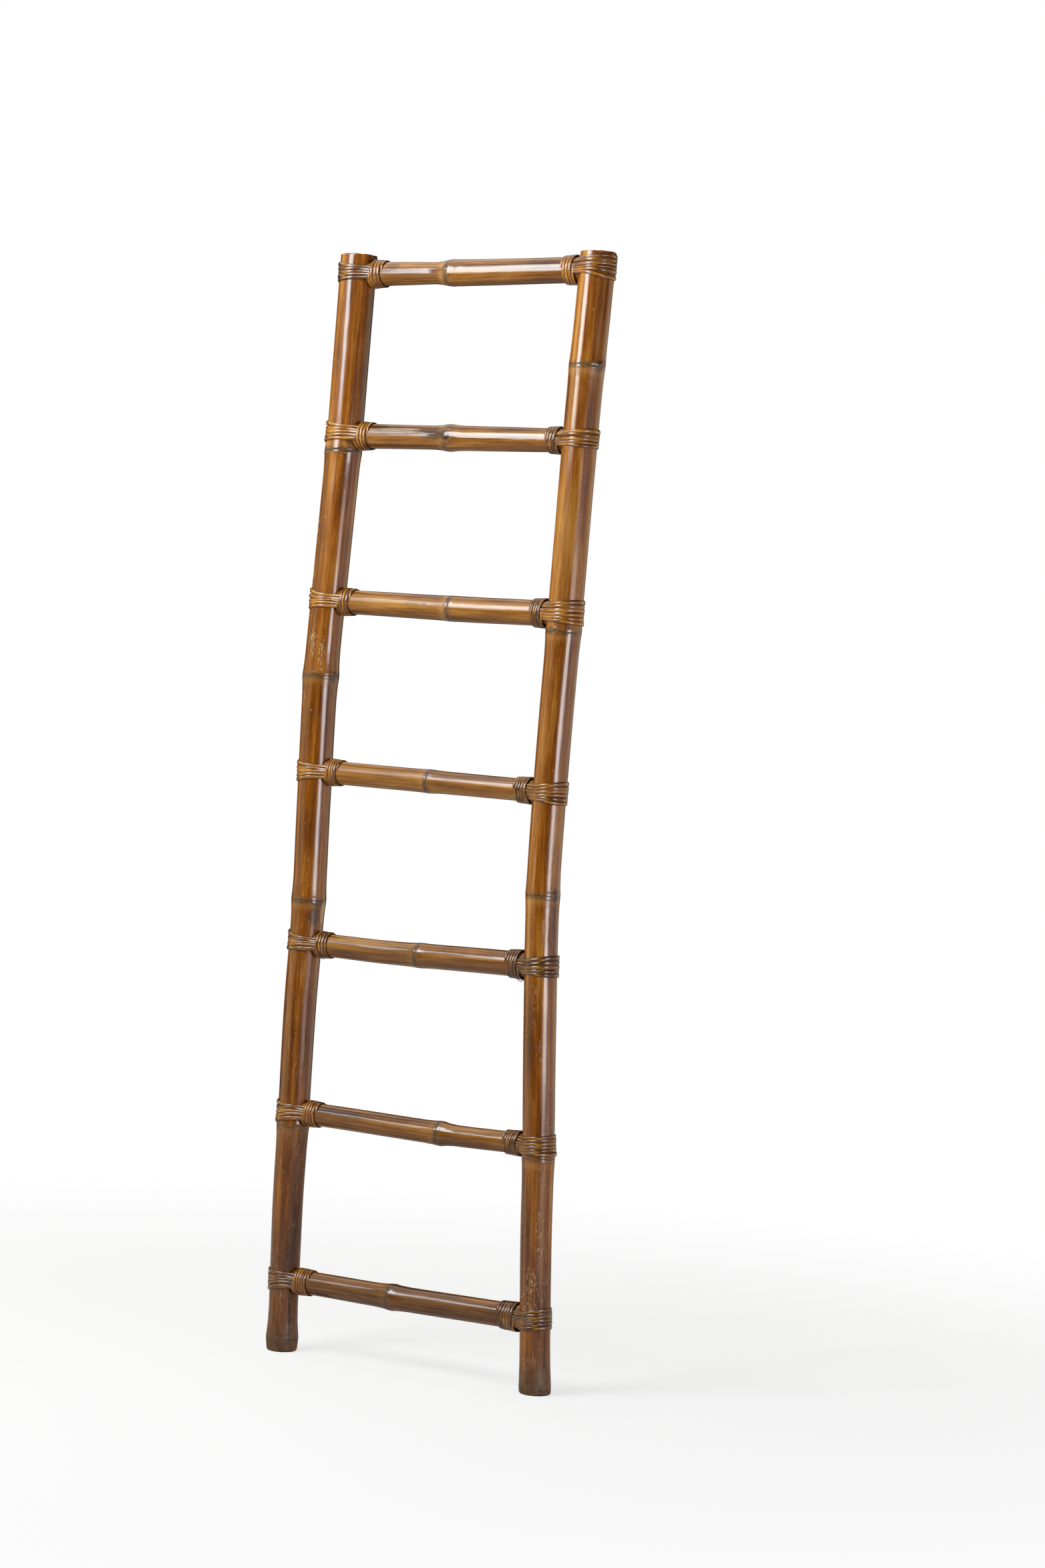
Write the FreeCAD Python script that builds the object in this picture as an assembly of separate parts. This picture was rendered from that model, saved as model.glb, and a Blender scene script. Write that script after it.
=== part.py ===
"""Bamboo ladder: two rails and seven rungs of whole bamboo, bound at each joint with split rattan.

Millimetres. +X runs along the rungs, +Y to the back, +Z up the rails. The origin is on the floor,
in the middle of the ladder's outline.
"""
import FreeCAD, Part
import math
import os

from FreeCAD import Vector

# Rails
HEIGHT = 1800.0
RAIL_WALL = 5.5
FOOT_EDGE = 3.0
TOP_EDGE = 0.8
RAIL_STEP = 90.0
OPEN_FOOT = 12.0

# Each rail: side of the ladder, radius at the foot and at the top, how fast it widens, its growth
# nodes (height, swelling, reach) and the heights and places at which its centre line bends.
# A foot whose lowest septum is over OPEN_FOOT high is hollow under it
RAILS = {
    "left": {
        "side": -1.0,
        "foot_radius": 22.6,
        "top_radius": 29.8,
        "widening": 0.55,
        "nodes": ((19.0, 3.4, 55.0), (371.0, 1.3, 36.0), (742.0, 1.6, 36.0), (1111.0, 1.9, 40.0),
                  (1480.0, 1.6, 40.0)),
        "bends": ((0, -235.9), (120, -238.8), (250, -241.8), (371, -241.2), (570, -241.5),
                  (735, -237.5), (900, -239.6), (1111, -241.0), (1300, -232.7), (1480, -224.2),
                  (1640, -220.3), (1800, -216.9)),
    },
    "right": {
        "side": 1.0,
        "foot_radius": 23.3,
        "top_radius": 28.2,
        "widening": 0.5,
        "nodes": ((8.0, 2.0, 70.0), (370.0, 1.0, 36.0), (784.0, 1.2, 36.0), (1201.0, 1.4, 36.0),
                  (1621.0, 1.0, 36.0)),
        "bends": ((0, 247.5), (120, 239.4), (250, 231.8), (370, 226.9), (570, 215.0),
                  (784, 205.0), (900, 204.9), (1050, 207.9), (1201, 212.3), (1450, 218.6),
                  (1540, 221.3), (1621, 224.5), (1700, 228.5), (1800, 232.5)),
    },
}

# Rungs, from the top: height at the left and at the right rail, place of the node, and the radii
# at the left end, before the node, on it, after it and at the right end
RUNGS = (
    (1768.5, 1772.5, -37.0, (20.4, 17.8, 21.5, 21.2, 20.2)),
    (1505.0, 1503.0, -20.0, (20.4, 19.2, 22.0, 20.0, 18.5)),
    (1234.0, 1229.0, 5.5, (19.5, 20.0, 20.8, 20.7, 20.4)),
    (954.5, 947.5, -15.5, (19.0, 18.8, 19.5, 18.6, 18.0)),
    (671.0, 672.5, -14.0, (18.6, 19.3, 20.6, 19.9, 20.4)),
    (393.5, 389.5, 45.0, (18.5, 18.8, 20.2, 17.0, 16.8)),
    (117.0, 116.0, -27.5, (18.7, 19.4, 21.8, 19.9, 20.0)),
)
RUNG_WALL = 4.5
RUNG_NODE_REACH = 30.0
SADDLE_GAP = 0.25

# A growth node: a swelling with a narrow groove, the scar of the leaf sheath, at its crest.
# Each pair is the distance from the groove, over the reach, and the share of the swelling
NODE_PROFILE = ((-1.0, 0.0), (-0.5, 0.3), (-0.2, 0.75), (-0.05, 1.0), (0.0, 0.35), (0.05, 1.0),
                (0.2, 0.8), (0.5, 0.35), (1.0, 0.0))
SEPTUM = 5.0

# Dowels that plug the rung ends and enter the rails
DOWEL_LENGTH = 45.0
DOWEL_FIT = 0.1
DOWEL_SHOULDER = 1.0
TENON_RADIUS = 8.0
TENON_PAST_WALL = 4.0

# Rattan bands round the rail: split half-round strands whose tails lie along the rung
STRANDS = 5
STRAND_SPACING = 6.6
STRAND_WIDTH = 5.8
STRAND_THICKNESS = 2.5
STRAND_CLEAR = 0.3
STRAND_STEP = 15.0
TAIL_SPACING = 5.5
TAIL_WIDTH = 4.9
TAIL_THICKNESS = 1.5
TAIL_END_THICKNESS = 0.5
TAIL_CLEAR = 0.1
TAIL_START = 2.5

# Rattan collars wound round the rung, over the tails
COLLAR_TURNS = {"left": (5, 5, 5, 5, 5, 5, 6), "right": (4, 4, 5, 5, 5, 5, 6)}
COLLAR_TUBE = 3.8
COLLAR_PITCH = 5.4
COLLAR_START = 5.0
COLLAR_CLEAR = 0.15
COLLAR_END_ANGLE = 250.0
QUARTERS = 4

# Steel brads that pin the middle strand's tails, under the collar
BRAD_RADIUS = 0.6
BRAD_LENGTH = 12.0
BRAD_PLACE = 10.0
BRAD_FIT = 0.05


def node_share(distance, reach):
    """Share of a node's swelling at a distance from its groove."""
    place = distance / reach
    for (low, share_low), (high, share_high) in zip(NODE_PROFILE, NODE_PROFILE[1:]):
        if low <= place <= high:
            return share_low + (share_high - share_low) * (place - low) / (high - low)
    return 0.0


def rail_radius(rail, z):
    """Outer radius of a rail at a height, without its nodes."""
    share = max(0.0, min(1.0, z / HEIGHT)) ** rail["widening"]
    return rail["foot_radius"] + (rail["top_radius"] - rail["foot_radius"]) * share


def rail_surface(rail, z):
    """Outer radius of a rail at a height, with its nodes."""
    swellings = (size * node_share(z - height, reach) for height, size, reach in rail["nodes"])
    return rail_radius(rail, z) + sum(swellings)


def rail_centre(rail, z):
    """Place in X of a rail's centre line: a smooth curve through its bends."""
    bends = rail["bends"]
    last = len(bends) - 1
    i = max(k for k in range(last) if k == 0 or bends[k][0] <= z)
    (z0, x0), (z1, x1) = bends[i], bends[i + 1]
    before, after = bends[max(i - 1, 0)], bends[min(i + 2, last)]
    slope0 = (x1 - before[1]) / (z1 - before[0])
    slope1 = (after[1] - x0) / (after[0] - z0)
    span = z1 - z0
    t = (z - z0) / span
    return (x0 * (2 * t ** 3 - 3 * t ** 2 + 1) + slope0 * span * (t ** 3 - 2 * t ** 2 + t)
            + x1 * (3 * t ** 2 - 2 * t ** 3) + slope1 * span * (t ** 3 - t ** 2))


def disc(centre, axis, radius):
    """Circular wire."""
    return Part.Wire([Part.makeCircle(radius, centre, axis)])


def ruled(wires):
    """Closed solid with straight lines from each section to the next."""
    return Part.makeLoft(wires, True, True)


def stations(start, end, step, marks):
    """Places from start to end, at most a step apart, with the marks between them."""
    places = [start] + sorted(m for m in marks if start < m < end) + [end]
    filled = []
    for low, high in zip(places, places[1:]):
        count = max(1, math.ceil((high - low) / step))
        filled += [low + (high - low) * k / count for k in range(count)]
    return filled + [end]


def rail_bar(rail, start, end, grow=0.0):
    """Solid length of a rail, with its nodes."""
    marks = [height + place * reach for height, _, reach in rail["nodes"] for place, _ in NODE_PROFILE]
    return ruled([disc(Vector(rail_centre(rail, z), 0, z), Vector(0, 0, 1), rail_surface(rail, z) + grow)
                  for z in stations(start, end, RAIL_STEP, marks)])


def rail_edge(rail, z, inward, depth):
    """Tool that bevels the outer edge of a rail's end; inward is 1 at the foot and -1 at the top."""
    radius = rail_surface(rail, z)
    end = Vector(rail_centre(rail, z), 0, z)
    ring = Part.makeCylinder(radius + 2 * depth, 2 * depth, end, Vector(0, 0, inward))
    return ring.cut(Part.makeCone(radius - depth, radius + depth, 2 * depth, end, Vector(0, 0, inward)))


def rail_hollows(rail):
    """The hollow of each internode; the ones at the ends of the rail are open."""
    heights = [height for height, _, _ in rail["nodes"]]
    floors = [height + SEPTUM / 2 for height in heights]
    roofs = [height - SEPTUM / 2 for height in heights[1:]] + [HEIGHT + SEPTUM]
    hollows = []
    for floor, roof in zip(floors, roofs):
        wires = [disc(Vector(rail_centre(rail, z), 0, z), Vector(0, 0, 1), rail_radius(rail, z) - RAIL_WALL)
                 for z in stations(floor, roof, RAIL_STEP, ())]
        hollows.append(ruled(wires))
    if heights[0] > OPEN_FOOT:
        hollows.append(Part.makeCylinder(rail["foot_radius"] - RAIL_WALL, heights[0] + SEPTUM / 2,
                                         Vector(rail_centre(rail, 0), 0, -SEPTUM), Vector(0, 0, 1)))
    return hollows


class Rung:
    """One rung between the two rails."""

    def __init__(self, number):
        z_left, z_right, self.node, self.radii = RUNGS[number - 1]
        self.start = Vector(rail_centre(RAILS["left"], z_left), 0, z_left)
        self.end = Vector(rail_centre(RAILS["right"], z_right), 0, z_right)
        self.axis = (self.end - self.start).normalize()
        self.number = number

    def point(self, x):
        """Point of the centre line at a place in X."""
        return self.start + self.axis * ((x - self.start.x) / self.axis.x)

    def base_radius(self, x):
        """Outer radius without the node's swelling."""
        left, before, _, after, right = self.radii
        if x < self.node:
            foot, tip = self.start.x, self.node - RUNG_NODE_REACH
            return left + (before - left) * min(1.0, max(0.0, (x - foot) / (tip - foot)))
        foot, tip = self.node + RUNG_NODE_REACH, self.end.x
        return after + (right - after) * min(1.0, max(0.0, (x - foot) / (tip - foot)))

    def radius(self, x):
        """Outer radius with the node's swelling."""
        base = self.base_radius(x)
        return base + (self.radii[2] - base) * node_share(x - self.node, RUNG_NODE_REACH)

    def bar(self):
        """Solid length from rail centre to rail centre."""
        marks = [self.node + place * RUNG_NODE_REACH for place, _ in NODE_PROFILE]
        return ruled([disc(self.point(x), self.axis, self.radius(x))
                      for x in stations(self.start.x, self.end.x, HEIGHT, marks)])

    def hollow(self, start, end):
        """The hollow of one internode."""
        return ruled([disc(self.point(x), self.axis, self.base_radius(x) - RUNG_WALL)
                      for x in (start, end)])

    def solid(self):
        """Hollow rung with its ends cut to saddles against the rails."""
        shape = self.bar()
        shape = shape.cut(self.hollow(self.start.x, self.node - SEPTUM / 2))
        shape = shape.cut(self.hollow(self.node + SEPTUM / 2, self.end.x))
        for side, centre in (("left", self.start), ("right", self.end)):
            reach = 1.6 * self.radii[2]
            low, high = max(0.0, centre.z - reach), min(HEIGHT, centre.z + reach)
            shape = shape.cut(rail_bar(RAILS[side], low, high, SADDLE_GAP))
        return max(shape.Solids, key=lambda solid: solid.Volume)


class Joint:
    """The place where a rung meets a rail: its dowel, band, collar and brads."""

    def __init__(self, side, rung):
        self.side = side
        self.rail = RAILS[side]
        self.rung = rung
        self.centre = rung.start if side == "left" else rung.end
        self.inward = rung.axis * -self.rail["side"]
        self.reach = rail_surface(self.rail, self.centre.z)

    def at(self, distance):
        """Point of the rung's centre line at a distance from the rail's centre."""
        return self.centre + self.inward * distance

    def around(self, distance, angle, radius):
        """Point round the rung; angle 0 is at the front and 90 at the top."""
        outward = self.outward(angle)
        return self.at(distance) + outward * radius

    def outward(self, angle):
        """Direction away from the rung's centre line."""
        turn = math.radians(angle)
        top = Vector(0, 0, 1) - self.inward * self.inward.z
        return Vector(0, -math.cos(turn), 0) + top.normalize() * math.sin(turn)

    def tail_thickness(self, distance):
        """Thickness of a tail, which is pared towards its end."""
        start = self.reach + TAIL_START
        share = min(1.0, max(0.0, (distance - start) / self.collar_length()))
        return TAIL_THICKNESS + (TAIL_END_THICKNESS - TAIL_THICKNESS) * share

    def collar_length(self):
        """Length of the collar along the rung."""
        return COLLAR_TURNS[self.side][self.rung.number - 1] * COLLAR_PITCH

    def dowel(self):
        """Round plug in the rung's end, with a tenon through the rail's wall."""
        shoulder = self.reach + DOWEL_SHOULDER
        ends = (self.at(shoulder), self.at(shoulder + DOWEL_LENGTH))
        radius = min(self.rung.base_radius(end.x) for end in ends) - RUNG_WALL - DOWEL_FIT
        plug = Part.makeCylinder(radius, DOWEL_LENGTH, ends[0], self.inward)
        return plug.fuse(self.tenon(TENON_RADIUS - DOWEL_FIT)).removeSplitter()

    def tenon(self, radius):
        """Cylinder from inside the rail to the dowel's shoulder."""
        start = self.reach - RAIL_WALL - TENON_PAST_WALL
        length = self.reach + DOWEL_SHOULDER - start
        return Part.makeCylinder(radius, length, self.at(start), self.inward)

    def brads(self, grow=0.0, above=0.0):
        """Two brads, through the middle strand's front and back tails."""
        place = self.reach + BRAD_PLACE
        surface = self.rung.radius(self.at(place).x) + TAIL_CLEAR + self.tail_thickness(place)
        return [Part.makeCylinder(BRAD_RADIUS + grow, BRAD_LENGTH + above,
                                  self.around(place, angle, surface + above), self.outward(angle + 180))
                for angle in (0, 180)]

    def brad_holes(self):
        """The holes of both brads, which run out past the tails."""
        return self.brads(BRAD_FIT, BRAD_RADIUS)

    def strand_radius(self, height):
        """Inner radius of a strand on the rail: over the thickest place under its width."""
        edges = (height - STRAND_WIDTH / 2, height, height + STRAND_WIDTH / 2)
        return max(rail_surface(self.rail, edge) for edge in edges) + STRAND_CLEAR

    def rail_section(self, height, angle):
        """Section of a strand on the rail; angle 0 is on the outside and 90 at the front."""
        turn = math.radians(angle)
        normal = Vector(self.rail["side"] * math.cos(turn), -math.sin(turn), 0)
        centre = Vector(rail_centre(self.rail, height), 0, height)
        base = centre + normal * self.strand_radius(height)
        return half_round(base, normal, Vector(0, 0, 1), STRAND_WIDTH, STRAND_THICKNESS)

    def tail_section(self, distance, angle):
        """Section of a strand's tail on the rung."""
        across = self.outward(angle + 90)
        if abs(angle) > 90:
            across = across * -1
        radius = self.rung.radius(self.at(distance).x) + TAIL_CLEAR
        base = self.around(distance, angle, radius)
        return half_round(base, self.outward(angle), across, TAIL_WIDTH, self.tail_thickness(distance))

    def leaving_angle(self, height, tail_angle):
        """Angle round the rail at which a strand leaves it for the rung."""
        start = self.reach + TAIL_START
        offset = self.rung.radius(self.at(start).x) * abs(math.cos(math.radians(tail_angle)))
        distance = math.hypot(start, offset)
        tangent = math.acos(self.strand_radius(height) / distance)
        return 180 - math.degrees(math.atan2(offset, start) + tangent)

    def strand(self, place):
        """One strand: tail, bend round the rail, tail; place counts from the middle strand."""
        height = self.centre.z + place * STRAND_SPACING
        start = self.reach + TAIL_START
        end = start + self.collar_length()
        tilt = math.degrees(place * TAIL_SPACING / self.rung.radius(self.at(start).x))
        leave = self.leaving_angle(height, tilt)
        count = math.ceil(2 * leave / STRAND_STEP)
        bend = [self.rail_section(height, leave - 2 * leave * k / count) for k in range(count + 1)]
        front = [self.tail_section(distance, tilt) for distance in (end, (start + end) / 2, start)]
        back = [self.tail_section(distance, 180 - tilt) for distance in (start, (start + end) / 2, end)]
        return ruled(front + bend + back)

    def band(self):
        """The strands that hold the rung's end against the rail."""
        half = (STRANDS - 1) / 2
        strands = [self.strand(k - half) for k in range(STRANDS)]
        holes = self.brad_holes()
        middle = STRANDS // 2
        strands[middle] = strands[middle].cut(holes[0]).cut(holes[1])
        return Part.makeCompound(strands)

    def collar_radius(self, distance):
        """Radius of the collar's centre line, over the pared tails."""
        under = self.rung.radius(self.at(distance).x) + TAIL_CLEAR + self.tail_thickness(distance)
        return under + COLLAR_CLEAR + COLLAR_TUBE / 2

    def collar_point(self, turn):
        """Point of the collar's centre line after a number of turns."""
        distance = self.reach + COLLAR_START + turn * COLLAR_PITCH
        return self.around(distance, COLLAR_END_ANGLE + 360 * turn, self.collar_radius(distance))

    def collar_heading(self, turn):
        """Direction of the collar's centre line."""
        small = 1e-4
        return (self.collar_point(turn + small) - self.collar_point(turn - small)).normalize()

    def collar(self):
        """One unbroken tube wound round the rung, with a straight run at each end."""
        count = COLLAR_TURNS[self.side][self.rung.number - 1] * QUARTERS
        edges = []
        for k in range(count):
            edges += biarc(self.collar_point(k / QUARTERS), self.collar_heading(k / QUARTERS),
                           self.collar_point((k + 1) / QUARTERS), self.collar_heading((k + 1) / QUARTERS))
        first, last = self.collar_point(0), self.collar_point(count / QUARTERS)
        lead_in = first - self.collar_heading(0) * COLLAR_TUBE
        lead_out = last + self.collar_heading(count / QUARTERS) * COLLAR_TUBE
        path = Part.Wire([Part.LineSegment(lead_in, first).toShape()] + edges
                         + [Part.LineSegment(last, lead_out).toShape()])
        shell = Part.BRepOffsetAPI.MakePipeShell(path)
        shell.add(disc(lead_in, self.collar_heading(0), COLLAR_TUBE / 2))
        shell.build()
        shell.makeSolid()
        return shell.shape()

    def collar_gap(self):
        """Least gap between two turns of the collar, measured on points of its centre line."""
        steps = 24
        turns = COLLAR_TURNS[self.side][self.rung.number - 1]
        points = [self.collar_point(k / steps) for k in range(turns * steps + 1)]
        apart = steps // 2
        pairs = ((a, b) for a in range(len(points)) for b in range(a + apart, len(points)))
        return min((points[a] - points[b]).Length for a, b in pairs) - COLLAR_TUBE


def half_round(base, normal, across, width, thickness):
    """Section of a strand: flat towards the bamboo, crowned away from it."""
    low, high = base - across * (width / 2), base + across * (width / 2)
    crown = base + normal * thickness
    return Part.Wire([Part.LineSegment(low, high).toShape(), Part.Arc(high, crown, low).toShape()])


def arc_within(start, corner, end):
    """Arc from start to end that touches both lines through the corner."""
    middle = (start + end) * 0.5
    turn = (corner - start).getAngle(end - corner)
    rise = (end - start).Length / 2 * math.tan(turn / 4)
    return Part.Arc(start, middle + (corner - middle).normalize() * rise, end).toShape()


def biarc(start, heading, end, end_heading):
    """Two arcs that join smoothly and keep the headings at both ends."""
    chord = end - start
    both = heading + end_heading
    a = 2 - 2 * heading.dot(end_heading)
    b = 2 * chord.dot(both)
    reach = (math.sqrt(b * b + 4 * a * chord.dot(chord)) - b) / (2 * a)
    corner0 = start + heading * reach
    corner1 = end - end_heading * reach
    meeting = (corner0 + corner1) * 0.5
    return [arc_within(start, corner0, meeting), arc_within(meeting, corner1, end)]


def rail_solid(side, joints):
    """Hollow rail with bevelled ends and a hole for each tenon."""
    rail = RAILS[side]
    shape = rail_bar(rail, 0.0, HEIGHT)
    for hollow in rail_hollows(rail):
        shape = shape.cut(hollow)
    shape = shape.cut(rail_edge(rail, 0.0, 1, FOOT_EDGE))
    shape = shape.cut(rail_edge(rail, HEIGHT, -1, TOP_EDGE))
    for joint in joints:
        shape = shape.cut(joint.tenon(TENON_RADIUS))
    return shape


def with_brad_holes(shape, joints):
    """A shape with the holes of the brads at its joints."""
    for joint in joints:
        for hole in joint.brad_holes():
            shape = shape.cut(hole)
    return shape


def build():
    """Every node's shape, by name."""
    rungs = [Rung(number) for number in range(1, len(RUNGS) + 1)]
    joints = {side: [Joint(side, rung) for rung in rungs] for side in RAILS}
    shapes = {}
    for side in RAILS:
        shapes[f"rail_{side}"] = rail_solid(side, joints[side])
    for rung, left, right in zip(rungs, joints["left"], joints["right"]):
        shapes[f"rung_{rung.number}"] = with_brad_holes(rung.solid(), (left, right))
    for side in RAILS:
        for joint in joints[side]:
            name = f"{side}_{joint.rung.number}"
            shapes[f"dowel_{name}"] = with_brad_holes(joint.dowel(), (joint,))
            shapes[f"band_{name}"] = joint.band()
            shapes[f"collar_{name}"] = joint.collar()
            print(f"collar_{name}: least gap between turns {joint.collar_gap():.2f} mm")
        brads = [brad for joint in joints[side] for brad in joint.brads()]
        shapes[f"brads_{side}"] = Part.makeCompound(brads)
    return shapes


def main():
    """Write one file for each node."""
    os.makedirs("parts", exist_ok=True)
    for name, shape in build().items():
        shape.exportStep(f"parts/{name}.step")


main()
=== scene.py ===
"""Bamboo ladder: varnished culms lashed with split rattan, on a pale studio floor.

Metres. +X runs along the rungs, +Y to the back, +Z up the rails. The origin is on the floor, in
the middle of the ladder's outline.
"""
import logging
import math
import random
from dataclasses import dataclass, field
from enum import Enum
from typing import Any, Iterable, Mapping, Optional, Sequence, Union

import bpy
from mathutils import Matrix, Vector, noise


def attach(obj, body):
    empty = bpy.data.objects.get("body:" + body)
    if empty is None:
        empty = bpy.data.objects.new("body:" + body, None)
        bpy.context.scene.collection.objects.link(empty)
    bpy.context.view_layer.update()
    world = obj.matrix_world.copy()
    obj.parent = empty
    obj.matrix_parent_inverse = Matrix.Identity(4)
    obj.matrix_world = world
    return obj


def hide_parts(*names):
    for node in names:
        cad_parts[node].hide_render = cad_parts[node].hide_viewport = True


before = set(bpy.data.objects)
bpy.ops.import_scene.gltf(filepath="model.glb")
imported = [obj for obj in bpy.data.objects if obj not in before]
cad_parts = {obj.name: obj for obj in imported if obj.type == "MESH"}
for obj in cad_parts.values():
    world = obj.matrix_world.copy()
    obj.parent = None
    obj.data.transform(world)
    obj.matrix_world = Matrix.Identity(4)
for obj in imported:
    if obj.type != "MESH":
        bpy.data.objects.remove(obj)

LOG = logging.getLogger("ladder")

HEIGHT = 1.8

Colour = tuple[float, float, float, float]
Pair = tuple[float, float]
Triple = tuple[float, float, float]
Path = list[tuple[Vector, Vector, float]]


class Side(Enum):
    """Side of the ladder that a rail is on."""

    LEFT = "left"
    RIGHT = "right"

    @property
    def sign(self) -> float:
        """Sign of X on this side."""
        return -1.0 if self is Side.LEFT else 1.0


def linear(value: int) -> float:
    """Linear light of one channel that is written in 0 to 255."""
    share = value / 255
    return share / 12.92 if share <= 0.04045 else ((share + 0.055) / 1.055) ** 2.4


def srgb(red: int, green: int, blue: int) -> Colour:
    """Colour socket value of a colour written in 0 to 255.

    Args:
        red: Red, 0 to 255.
        green: Green, 0 to 255.
        blue: Blue, 0 to 255.

    Returns:
        The same colour in linear light, with full alpha.
    """
    return linear(red), linear(green), linear(blue), 1.0


def ease(share: float) -> float:
    """Smooth step of a share, held between 0 and 1."""
    share = min(1.0, max(0.0, share))
    return share * share * (3 - 2 * share)


def bell(distance: float, width: float) -> float:
    """Height of a bell curve at a distance from its middle."""
    return math.exp(-(distance / width) ** 2)


# Node trees

class Value:
    """A socket of a node tree; its operators add Math nodes."""

    def __init__(self, graph: "Graph", socket: bpy.types.NodeSocket) -> None:
        """Keep a socket and the tree that it is in."""
        self.graph = graph
        self.socket = socket

    def math(self, operation: str, *others: "Number", clamp: bool = False) -> "Value":
        """Math node with this value first.

        Args:
            operation: The Math node's operation.
            others: The operation's further values.
            clamp: Whether the result is held between 0 and 1.

        Returns:
            The node's result.
        """
        return self.graph.add("ShaderNodeMath", {"operation": operation, "use_clamp": clamp},
                              dict(enumerate((self, *others))))

    def __add__(self, other: "Number") -> "Value":
        """Sum."""
        return self.math("ADD", other)

    __radd__ = __add__

    def __mul__(self, other: "Number") -> "Value":
        """Product."""
        return self.math("MULTIPLY", other)

    __rmul__ = __mul__

    def __sub__(self, other: "Number") -> "Value":
        """Difference."""
        return self.math("SUBTRACT", other)

    def __rsub__(self, other: float) -> "Value":
        """Difference with this value taken away."""
        return self.graph.add("ShaderNodeMath", {"operation": "SUBTRACT"}, {0: other, 1: self})

    def __truediv__(self, other: "Number") -> "Value":
        """Quotient."""
        return self.math("DIVIDE", other)

    def __rtruediv__(self, other: float) -> "Value":
        """Quotient with this value below the line."""
        return self.graph.add("ShaderNodeMath", {"operation": "DIVIDE"}, {0: other, 1: self})

    def beside(self, output: str) -> "Value":
        """Another output of the same node."""
        return Value(self.graph, self.socket.node.outputs[output])

    def size(self) -> "Value":
        """Value without its sign."""
        return self.math("ABSOLUTE")

    def held(self) -> "Value":
        """Value held between 0 and 1."""
        return self.math("ADD", 0.0, clamp=True)

    def step(self, low: float, high: float) -> "Value":
        """Smooth step.

        Args:
            low: Value at which the result is 0.
            high: Value at which the result is 1; below low, the step falls.

        Returns:
            The step, from 0 to 1.
        """
        if low > high:
            return 1.0 - self.step(high, low)
        return self.graph.add("ShaderNodeMapRange", {"interpolation_type": "SMOOTHSTEP"},
                              {0: self, 1: low, 2: high, 3: 0.0, 4: 1.0})


Number = Union[Value, float]


class Graph:
    """Builder of one node tree."""

    SEED_SHIFT: Triple = (1.7, 2.3, 3.1)

    def __init__(self, tree: bpy.types.NodeTree) -> None:
        """Keep the tree to build."""
        self.tree = tree

    def add(self, kind: str, settings: Optional[Mapping[str, Any]] = None,
            sockets: Optional[Mapping[Union[int, str], Any]] = None, output: Union[int, str] = 0) -> Value:
        """Add a node.

        Args:
            kind: The node's type.
            settings: Its properties, set first; "stops" are a ramp's places and colours.
            sockets: Values or links of its inputs, by name or number.
            output: The output to return.

        Returns:
            The chosen output, or the first input of a node that has no outputs.
        """
        node = self.tree.nodes.new(kind)
        for name, setting in (settings or {}).items():
            if name == "stops":
                self._set_stops(node.color_ramp, setting)
            else:
                setattr(node, name, setting)
        for key, value in (sockets or {}).items():
            self._feed(node.inputs[key], value)
        return Value(self, node.outputs[output]) if node.outputs else Value(self, node.inputs[0])

    def _feed(self, socket: bpy.types.NodeSocket, value: Any) -> None:
        """Link a value to a socket, or set it there.

        Args:
            socket: The input.
            value: A link, or the input's own value.
        """
        if isinstance(value, Value):
            self.tree.links.new(value.socket, socket)
        else:
            socket.default_value = value

    @staticmethod
    def _set_stops(ramp: bpy.types.ColorRamp, stops: Sequence[tuple[float, Colour]]) -> None:
        """Give a colour ramp its places and colours.

        Args:
            ramp: The ramp.
            stops: Place and colour of each stop, from the start.
        """
        while len(ramp.elements) < len(stops):
            ramp.elements.new(0.5)
        for element, (place, colour) in zip(ramp.elements, stops):
            element.position = place
            element.color = colour

    def attribute(self, name: str, output: str = "Fac") -> Value:
        """Attribute of the mesh, as a number or as a Vector."""
        return self.add("ShaderNodeAttribute", {"attribute_name": name}, output=output)

    def ramp(self, value: Value, stops: Sequence[tuple[float, Colour]]) -> Value:
        """Colour along a ramp."""
        return self.add("ShaderNodeValToRGB", {"stops": stops}, {0: value})

    def mix(self, share: Number, first: Any, second: Any) -> Value:
        """Colour mixed from two; the share is the second one's."""
        return self.add("ShaderNodeMix", {"data_type": "RGBA"}, {0: share, 6: first, 7: second}, 2)

    def vector(self, operation: str, first: Any, second: Any, output: int = 0) -> Value:
        """Vector Math of two vectors."""
        return self.add("ShaderNodeVectorMath", {"operation": operation}, {0: first, 1: second}, output)

    def noise(self, place: Value, scale: Triple, seed: float, detail: float = 2.0,
              rough: float = 0.5) -> Value:
        """Noise stretched to three scales.

        Args:
            place: The vector that it follows.
            scale: Waves in a metre, along each of the vector's axes.
            seed: Shift that tells this noise from the others.
            detail: Octaves.
            rough: Share of each finer octave.

        Returns:
            The noise, around 0.5.
        """
        spread = self.vector("MULTIPLY", place, scale)
        shifted = self.vector("ADD", spread, tuple(seed * shift for shift in self.SEED_SHIFT))
        return self.add("ShaderNodeTexNoise", None,
                        {"Vector": shifted, "Scale": 1.0, "Detail": detail, "Roughness": rough})

    def bump(self, height: Value, distance: float) -> Value:
        """Normal of a surface raised by a height."""
        return self.add("ShaderNodeBump", None, {"Height": height, "Distance": distance})


def new_material(name: str) -> tuple[bpy.types.Material, Graph]:
    """Material with an empty node tree.

    Args:
        name: The material's name.

    Returns:
        The material and the builder of its tree.
    """
    material = bpy.data.materials.new(name)
    material.use_nodes = True
    material.node_tree.nodes.clear()
    return material, Graph(material.node_tree)


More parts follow.
